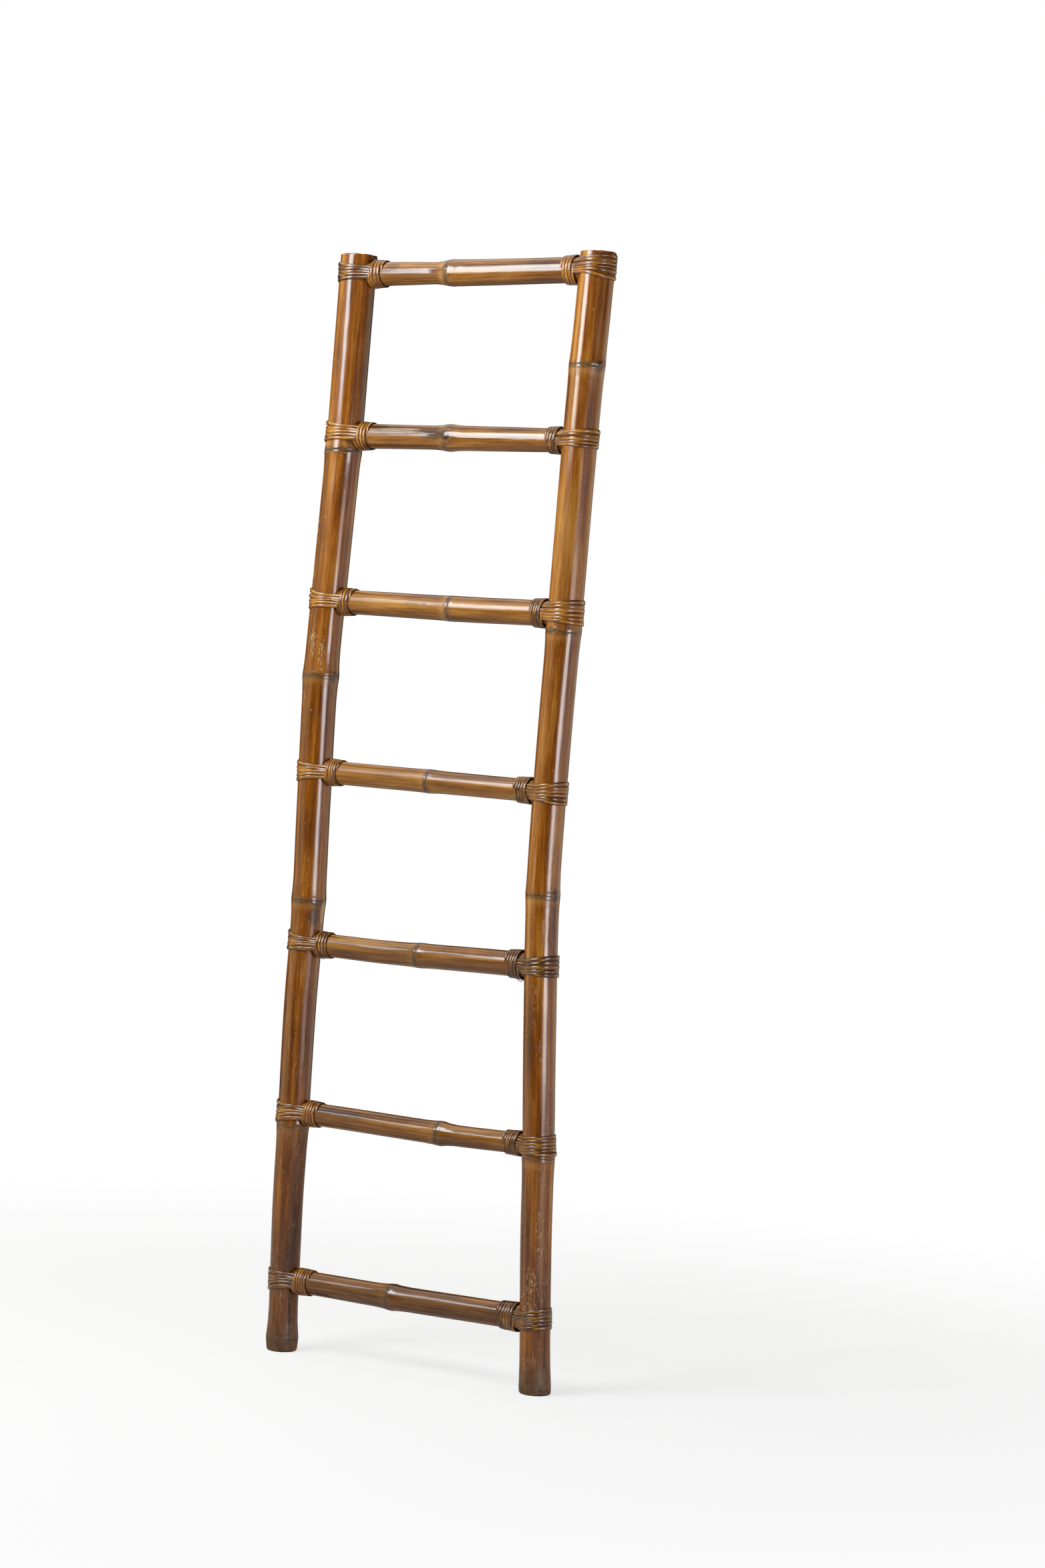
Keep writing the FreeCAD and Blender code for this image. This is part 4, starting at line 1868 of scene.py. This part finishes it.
    def build(self, strips: StripTree, windings: WindingTree, band: bpy.types.Material,
              winding: bpy.types.Material) -> None:
        """Make the band and the winding.

        Args:
            strips: The tree that makes strands.
            windings: The tree that winds the collar.
            band: Material of the strands.
            winding: Material of the winding.
        """
        strands = strips.apply(f"strands_{self.name}", self.paths_mesh(), {
            "Width": self.width,
            "Thickness": self.thickness,
            "Material": band,
        })
        add_piece(f"strands_{self.name}", strands, [f"band_{self.name}"])
        tie, pitch = self.tie, self.tie.pitch / 1000
        start = self.reach + self.WINDING_START
        end = start + tie.turns * pitch
        across = self.rung.outward(0)
        axes = Matrix((across, self.inward.cross(across), self.inward)).transposed()
        collar = windings.apply(f"winding_{self.name}", bpy.data.meshes.new("empty"), {
            "Turns": tie.turns,
            "Pitch": pitch,
            "Near radius": self.rung_radius(start) + self.NEAR_LIFT,
            "Far radius": self.rung_radius(end) + self.FAR_LIFT,
            "Width": pitch * self.WINDING_WIDTH,
            "Seed": self.rung.number * 5.0 + self.rail.side.sign,
            "Tone": tie.collar_tone,
            "Ruddy": tie.collar_ruddy,
            "Reverse": self.rail.side is Side.LEFT,
            "Place": tuple(self.centre + self.inward * start),
            "Turn": axes.to_euler(),
            "Material": winding,
        })
        add_piece(f"winding_{self.name}", collar, [f"collar_{self.name}"])


# Studio

@dataclass(frozen=True)
class Lamp:
    """A soft area lamp, aimed at a point: azimuth in degrees, and sizes in metres."""

    name: str
    azimuth: float
    distance: float
    height: float
    width: float
    tall: float
    radiance: float
    aim: float = 1.0
    colour: Triple = (1.0, 1.0, 1.0)

    def build(self) -> None:
        """Put the lamp in the scene."""
        data = bpy.data.lights.new(self.name, "AREA")
        data.shape = "RECTANGLE"
        data.size = self.width
        data.size_y = self.tall
        data.energy = self.radiance * math.pi * self.width * self.tall
        data.color = self.colour
        turn = math.radians(self.azimuth)
        place = Vector((math.cos(turn) * self.distance, math.sin(turn) * self.distance, self.height))
        lamp = bpy.data.objects.new(self.name, data)
        lamp.location = place
        lamp.rotation_euler = (place - Vector((0, 0, self.aim))).to_track_quat("Z", "Y").to_euler()
        bpy.context.scene.collection.objects.link(lamp)


# Colours of the lamps' light
COOL = (0.92, 0.97, 1.0)
ROSE = (1.0, 0.84, 0.86)
AMBER = (1.0, 0.88, 0.70)
GOLD = (1.0, 0.84, 0.50)


@dataclass
class Studio:
    """Floor, lamps, world and camera."""

    floor_half: float = 9.0
    ambient: float = 0.05
    lamps: tuple[Lamp, ...] = (
        Lamp("key", -112, 1.70, 2.36, 0.85, 1.5, 12.5, 1.6, COOL),
        Lamp("line", -131, 4.0, 3.75, 1.3, 0.7, 7.0, 1.0, COOL),
        Lamp("over", 170, 1.5, 3.6, 3.5, 3.0, 1.0, 1.0),
        Lamp("left", -150, 2.6, 1.2, 3.0, 2.4, 0.9, 1.1, GOLD),
        Lamp("strip", -21.5, 3.6, 0.80, 1.25, 0.8, 9.5, 0.8, COOL),
        Lamp("low", -4, 3.8, 0.85, 5.0, 1.7, 0.95, 0.85, ROSE),
        Lamp("right", 58, 3.4, 1.0, 3.4, 2.2, 0.8, 0.95, AMBER),
    )
    camera_place: Vector = field(default_factory=lambda: Vector((3.0433, -4.9188, 1.0578)))
    camera_axes: tuple[Triple, ...] = (
        (0.86004, 0.50631, 0.06310), (-0.06328, -0.01687, 0.99785), (0.50629, -0.86219, 0.01753))
    lens: float = 82.6
    sensor: float = 36.0
    white: Colour = srgb(255, 255, 255)
    floor_light: Colour = srgb(250, 250, 250)
    floor_dark: Colour = srgb(240, 240, 240)
    floor_seen: Colour = srgb(205, 201, 196)

    # Distances from the origin over which the floor turns to plain white, and its least share of it
    FADE = (0.3, 2.4)
    GLOW = 0.7

    def add_camera(self) -> None:
        """Camera at the photograph's place; the rows of its axes are right, up and back."""
        data = bpy.data.cameras.new("camera")
        data.lens = self.lens
        data.sensor_width = self.sensor
        camera = bpy.data.objects.new("camera", data)
        turn = Matrix(self.camera_axes).transposed().to_4x4()
        camera.matrix_world = Matrix.Translation(self.camera_place) @ turn
        bpy.context.scene.collection.objects.link(camera)
        bpy.context.scene.camera = camera

    def add_floor(self) -> None:
        """Pale floor, partly white of its own, so that the ladder's shadow stays soft."""
        half = self.floor_half
        mesh = bpy.data.meshes.new("floor")
        mesh.from_pydata([(-half, -half, 0), (half, -half, 0), (half, half, 0), (-half, half, 0)], [],
                         [(0, 1, 2, 3)])
        material, graph = new_material("floor_white")
        seen = graph.add("ShaderNodeLightPath", output="Is Camera Ray")
        place = graph.add("ShaderNodeTexCoord", output="Object")
        grey = graph.noise(place, (0.8, 0.8, 0.8), 1.0)
        light = graph.mix(grey * 0.1, self.floor_light, self.floor_dark)
        colour = graph.mix(seen, self.floor_seen, light)
        matt = graph.add("ShaderNodeBsdfDiffuse", None, {"Color": colour})
        glow = graph.add("ShaderNodeEmission", None, {"Color": self.white, "Strength": 1.0})
        away = graph.vector("LENGTH", place, (0, 0, 0), 1).step(*self.FADE)
        share = seen * (away * (1 - self.GLOW) + self.GLOW)
        mixed = graph.add("ShaderNodeMixShader", None, {0: share, 1: matt, 2: glow})
        graph.add("ShaderNodeOutputMaterial", None, {"Surface": mixed})
        mesh.materials.append(material)
        floor = bpy.data.objects.new("floor", mesh)
        bpy.context.scene.collection.objects.link(floor)

    def add_world(self) -> None:
        """White where it is seen, dimmer as a light."""
        world = bpy.data.worlds.new("studio")
        world.use_nodes = True
        world.node_tree.nodes.clear()
        graph = Graph(world.node_tree)
        seen = graph.add("ShaderNodeLightPath", output="Is Camera Ray")
        white = graph.add("ShaderNodeBackground", None, {"Color": self.white, "Strength": 1.0})
        dim = graph.add("ShaderNodeBackground", None, {"Color": self.white, "Strength": self.ambient})
        mixed = graph.add("ShaderNodeMixShader", None, {0: seen, 1: dim, 2: white})
        graph.add("ShaderNodeOutputWorld", None, {"Surface": mixed})
        bpy.context.scene.world = world

    def build(self) -> None:
        """Make the studio."""
        bpy.context.scene.view_settings.view_transform = "Standard"
        self.add_camera()
        self.add_floor()
        self.add_world()
        for lamp in self.lamps:
            lamp.build()


# The ladder

def left_rail() -> Rail:
    """The left rail, which stands on an open foot.

    Returns:
        The rail.
    """
    nodes = (
        GrowthNode(0.019, 0.0034, 0.055, mark=0.5),
        GrowthNode(0.371, 0.0013, 0.036, mark=0.45),
        GrowthNode(0.742, 0.0016, 0.036, mark=0.9),
        GrowthNode(1.111, 0.0019, 0.040, mark=0.75, bud_azimuth=-3, bud_size=0.005),
        GrowthNode(1.480, 0.0016, 0.040, growth=-1.0, mark=1.0),
    )
    look = CulmLook(
        3.0, (0.32, 0.31, 0.38, 0.50, 0.49, 0.44), 0.24, 0.35, foot=0.9, frost=0.5,
        cracks=(Crack(-120, 0.0, 0.028, 0.0006), Crack(-72, 0.0, 0.016, 0.0005),
                Crack(-32, 0.0, 0.104, 0.0005)),
        worn_and_sheen=(Patch(4, 0.722, 0.022, 0.006, 0.8),),
        chips=(Patch(-95, 1.163, 0.024, 0.010), Patch(-125, 1.072, 0.014, 0.006),
               Patch(-138, 1.250, 0.050, 0.006), Patch(-130, 1.350, 0.030, 0.005),
               Patch(-60, 1.150, 0.030, 0.006)),
        stains=(Patch(-5, 1.108, 0.010, 0.012, 0.7), Patch(-20, 0.738, 0.008, 0.014, 0.6),
                Patch(-32, 0.717, 0.018, 0.012, 0.65), Patch(-30, 1.497, 0.010, 0.014, 0.5)),
    )
    bends = ((0, -0.2359), (0.120, -0.2388), (0.250, -0.2418), (0.371, -0.2412), (0.570, -0.2415),
             (0.735, -0.2375), (0.900, -0.2396), (1.111, -0.2410), (1.300, -0.2327),
             (1.480, -0.2242), (1.640, -0.2203), (1.800, -0.2169))
    return Rail("rail_left", nodes, look, side=Side.LEFT, foot_radius=0.0226, top_radius=0.0298,
                widening=0.55, bends=bends)


def right_rail() -> Rail:
    """The right rail, which stands on a growth node.

    Returns:
        The rail.
    """
    nodes = (
        GrowthNode(0.008, 0.0020, 0.070, mark=0.3),
        GrowthNode(0.370, 0.0010, 0.036, mark=0.45),
        GrowthNode(0.784, 0.0012, 0.036, mark=0.7, bud_azimuth=-12, bud_size=0.006),
        GrowthNode(1.201, 0.0014, 0.036, mark=0.5),
        GrowthNode(1.621, 0.0010, 0.036, mark=0.8, bud_azimuth=-20, bud_size=0.004),
    )
    look = CulmLook(
        8.0, (0.39, 0.38, 0.42, 0.50, 0.55, 0.62), 0.26, 0.5, foot=0.9,
        cracks=(Crack(-85, 0.0, 0.020, 0.0006), Crack(-38, 0.0, 0.018, 0.0006),
                Crack(-60, 0.06, 0.10, 0.0004)),
        chips=(Patch(-80, 0.150, 0.060, 0.012), Patch(-50, 0.245, 0.050, 0.008)),
        stains=(Patch(-18, 1.619, 0.010, 0.012, 0.6), Patch(-12, 0.786, 0.012, 0.010, 0.8),
                Patch(-110, 1.203, 0.006, 0.012, 0.6), Patch(-40, 1.199, 0.006, 0.014, 0.5)),
    )
    bends = ((0, 0.2475), (0.120, 0.2394), (0.250, 0.2318), (0.370, 0.2269), (0.570, 0.2150),
             (0.784, 0.2050), (0.900, 0.2049), (1.050, 0.2079), (1.201, 0.2123), (1.450, 0.2186),
             (1.540, 0.2213), (1.621, 0.2245), (1.700, 0.2285), (1.800, 0.2325))
    return Rail("rail_right", nodes, look, side=Side.RIGHT, foot_radius=0.0233, top_radius=0.0282,
                bends=bends, open_foot=False)


@dataclass(frozen=True)
class RungSizes:
    """What tells one rung from another.

    The heights are at both rails. The radii, in millimetres, are at the left end, before, on and after
    the node and at the right end. The tones are of both internodes, and the rung hangs lowest at sag_x.
    """

    heights: Pair
    node_x: float
    radii: tuple[float, ...]
    tones: Pair
    sag: float = 0.0
    sag_x: float = 0.0
    mark: float = 0.9
    bud: Pair = (0.0, 0.0)
    marks: Mapping[str, Any] = field(default_factory=dict)

    FIRST_SEED = 21.0
    NODE_REACH = 0.030

    def rung(self, number: int, left: Rail, right: Rail) -> Rung:
        """The rung of these sizes.

        Args:
            number: Its number, from the top.
            left: The left rail.
            right: The right rail.

        Returns:
            The rung.
        """
        start = left.centre(self.heights[0])
        radii = tuple(radius / 1000 for radius in self.radii)
        base = (radii[1] + radii[3]) / 2
        node = GrowthNode(self.node_x - start, radii[2] - base, self.NODE_REACH, 1.0, self.mark, *self.bud)
        look = CulmLook(self.FIRST_SEED + number - 1, self.tones, scratches=0.0, **self.marks)
        return Rung(f"rung_{number}", (node,), look, number=number, heights=self.heights, radii=radii,
                    rails=(left, right), sag=self.sag, sag_place=self.sag_x - start)


RUNGS = (
    RungSizes((1.7685, 1.7725), -0.0370, (20.4, 17.8, 21.5, 21.2, 20.2), (0.44, 0.46), 0.0008, 0.03,
              marks=dict(plum=0.75, stains=(Patch(32, 0.078, 0.014, 0.006, 0.5),))),
    RungSizes((1.5050, 1.5030), -0.0200, (20.4, 19.2, 22.0, 20.0, 18.5), (0.30, 0.54),
              mark=0.5, bud=(8.0, 0.0110), marks=dict(
                  cracks=(Crack(18, 0.05, 0.15, 0.0003), Crack(25, 0.04, 0.17, 0.0003),
                          Crack(31, 0.06, 0.16, 0.0003), Crack(38, 0.05, 0.13, 0.0003),
                          Crack(12, 0.08, 0.16, 0.0003)),
                  # These rubbed streaks lie in the rung's highlight; their silver grey is partly worn
                  # varnish, partly a painted sheen
                  worn_and_sheen=(Patch(21, 0.105, 0.060, 0.0030, 0.75), Patch(28, 0.095, 0.055, 0.0016, 0.7),
                        Patch(35, 0.120, 0.045, 0.0022, 0.7)),
                  stains=(Patch(8, 0.184, 0.026, 0.0075, 0.8),))),
    RungSizes((1.2340, 1.2290), 0.0055, (19.5, 20.0, 20.8, 20.7, 20.4), (0.52, 0.54), 0.0010, 0.03,
              marks=dict(gloss=0.26, stains=(Patch(12, 0.176, 0.024, 0.0012, 0.7),
                                             Patch(12, 0.198, 0.004, 0.0028, 0.8)))),
    RungSizes((0.9545, 0.9475), -0.0155, (19.0, 18.8, 19.5, 18.6, 18.0), (0.52, 0.50),
              marks=dict(gloss=0.32, frost=0.5, plum=0.3)),
    RungSizes((0.6710, 0.6725), -0.0140, (18.6, 19.3, 20.6, 19.9, 20.4), (0.50, 0.54), 0.0020, -0.08,
              marks=dict(frost=0.2)),
    RungSizes((0.3935, 0.3895), 0.0450, (18.5, 18.8, 20.2, 17.0, 16.8), (0.44, 0.48), 0.0021, 0.07,
              marks=dict(frost=0.2, plum=0.6, stains=(Patch(46, 0.072, 0.030, 0.006, 0.75),
                                                      Patch(40, 0.120, 0.022, 0.004, 0.6)))),
    RungSizes((0.1170, 0.1160), -0.0275, (18.7, 19.4, 21.8, 19.9, 20.0), (0.37, 0.37), 0.0012, -0.02,
              marks=dict(frost=0.1, plum=0.75)),
)


def ties() -> dict[tuple[Side, int], Tie]:
    """The fourteen lashings, by rail and rung.

    Returns:
        What tells each lashing from the others.
    """
    left, right = Side.LEFT, Side.RIGHT
    # Turns, pitch in millimetres, tone and ruddiness of the strands and of the winding, then the strands
    rows = {
        (left, 1): (4.0, 5.9, 0.37, 0.65, 0.53, 0.0, (
            (14.5, 10.5), (6.7, 6.0), (0.2, 1.5), (-5.8, -3.0), (-11.5, -8.0))),
        (left, 2): (4.0, 5.6, 0.58, 0.1, 0.52, 0.1, (
            (19.5, 14.5), (10.7, 9.8), (4.0, 5.2), (-3.5, -0.5), (-9.3, -5.6))),
        (left, 3): (4.0, 5.3, 0.62, 0.05, 0.48, 0.2, (
            (15.8, 9.0), (6.4, 4.4), (-1.5, 0.0), (-6.3, -4.2), (-11.8, -9.2))),
        (left, 4): (5.0, 4.5, 0.58, 0.05, 0.52, 0.0, (
            (13.0, 8.8), (5.5, 4.2), (-1.2, 0.3), (-8.2, -4.6), (-15.4, -9.6))),
        (left, 5): (4.6, 5.0, 0.48, 0.25, 0.45, 0.2, (
            (17.2, 10.4), (9.7, 6.5), (3.4, 2.8), (-2.2, -1.0), (-9.0, -7.0))),
        (left, 6): (5.0, 5.0, 0.52, 0.15, 0.52, 0.1, (
            (14.5, 12.0), (6.4, 7.8), (-1.6, 3.4), (-9.5, -1.5), (-16.0, -8.0))),
        (left, 7): (6.0, 4.7, 0.38, 0.45, 0.54, 0.1, (
            (14.7, 12.5), (6.0, 8.0), (-0.8, 3.4), (-7.4, -1.4), (-15.0, -8.5))),
        (right, 1): (4.0, 5.6, 0.46, 0.2, 0.58, 0.0, (
            (20.5, 16.5), (14.4, 12.2), (8.2, 6.6), (3.0, 2.4), (-2.8, -1.8), (-12.8, -6.4))),
        (right, 2): (4.0, 5.4, 0.56, 0.15, 0.42, 0.4, (
            (15.0, 12.0), (7.7, 8.0), (1.6, 1.6), (-4.0, -3.2), (-9.4, -7.6))),
        (right, 3): (5.0, 4.5, 0.56, 0.15, 0.40, 0.4, (
            (19.8, 16.0), (13.0, 11.2), (6.8, 5.4), (0.0, -0.6), (-6.6, -5.6), (-13.7, -9.8))),
        (right, 4): (5.0, 5.2, 0.50, 0.3, 0.40, 0.5, (
            (14.5, 10.0), (7.9, 4.6), (2.6, 0.2), (-3.4, -4.4), (-10.0, -8.8), (-16.2, -12.6))),
        (right, 5): (5.0, 4.9, 0.36, 0.6, 0.38, 0.45, (
            (15.3, 8.8), (7.9, 3.2), (0.6, -2.0), (-6.0, -7.0), (-12.3, -11.2))),
        (right, 6): (6.0, 4.5, 0.46, 0.3, 0.42, 0.35, (
            (17.0, 13.2), (11.8, 8.4), (6.6, 3.6), (1.4, -1.2), (-4.2, -6.2), (-10.6, -11.4))),
        (right, 7): (6.0, 5.2, 0.36, 0.5, 0.36, 0.4, (
            (18.8, 12.2), (13.4, 8.0), (8.4, 3.6), (2.8, -1.0), (-3.2, -6.0), (-9.6, -11.6))),
    }
    tips = {(left, 2): (Tip(19.8, 36, 0.0062), Tip(15.6, 36, 0.0058))}
    loose = {
        (left, 1): (Loose(0.039, 0.0415, 0.0028), Loose(0.045, 0.0475, 0.0022)),
        (left, 5): (Loose(0.036, 0.0385, 0.0030), Loose(0.040, 0.0415, 0.0022)),
        (right, 1): (Loose(0.047, 0.0445, 0.0026),),
        (right, 5): (Loose(0.0255, 0.0410, 0.0042, True),),
    }
    return {key: Tie(*sizes, tuple(Strand(*pair) for pair in strands), tips.get(key, ()), loose.get(key, ()))
            for key, (*sizes, strands) in rows.items()}


@dataclass
class Ladder:
    """The whole ladder: rails, rungs and lashings; the rungs are stained a little yellower."""

    left: Rail = field(default_factory=left_rail)
    right: Rail = field(default_factory=right_rail)
    rung_sizes: tuple[RungSizes, ...] = RUNGS
    ties: dict[tuple[Side, int], Tie] = field(default_factory=ties)
    rail_skin: BambooFinish = BambooFinish()
    # The rungs' rubbed colour is a silver grey: partly worn varnish, partly a painted sheen of the highlight
    rung_skin: BambooFinish = BambooFinish(
        brown=srgb(110, 63, 8), gold=srgb(147, 91, 14), amber=srgb(184, 132, 56),
        plum=srgb(98, 61, 36), bare_and_sheen=srgb(180, 160, 136))
    rattan: RattanFinish = RattanFinish()
    wood: WoodFinish = WoodFinish()
    steel: SteelFinish = SteelFinish()

    BAND_SEED = 1.0
    WINDING_SEED = 9.0

    def build(self) -> None:
        """Make every piece and dress the hidden fastenings."""
        rungs = [sizes.rung(k + 1, self.left, self.right) for k, sizes in enumerate(self.rung_sizes)]
        for rail in (self.left, self.right):
            rail.build(self.rail_skin)
        for rung in rungs:
            rung.build(self.rung_skin)
        band = self.rattan.material("rattan_band", self.BAND_SEED)
        winding = self.rattan.material("rattan_winding", self.WINDING_SEED)
        strips, windings = StripTree(), WindingTree()
        for (side, number), tie in self.ties.items():
            rail = self.left if side is Side.LEFT else self.right
            Lashing(rail, rungs[number - 1], tie).build(strips, windings, band, winding)
        self.dress_fastenings()

    def dress_fastenings(self) -> None:
        """Dress the dowels and the brads, which keep their CAD meshes."""
        materials = {"dowel": self.wood.material("dowel_wood"), "brads": self.steel.material("brad_steel")}
        for name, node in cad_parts.items():
            kind = name.split("_")[0]
            if kind in materials:
                for slot in node.material_slots:
                    slot.material = materials[kind]


def main() -> None:
    """Build the studio and the ladder."""
    logging.basicConfig(level=logging.INFO, format="%(message)s")
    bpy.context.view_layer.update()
    Studio().build()
    Ladder().build()


if __name__ == "__main__":
    main()
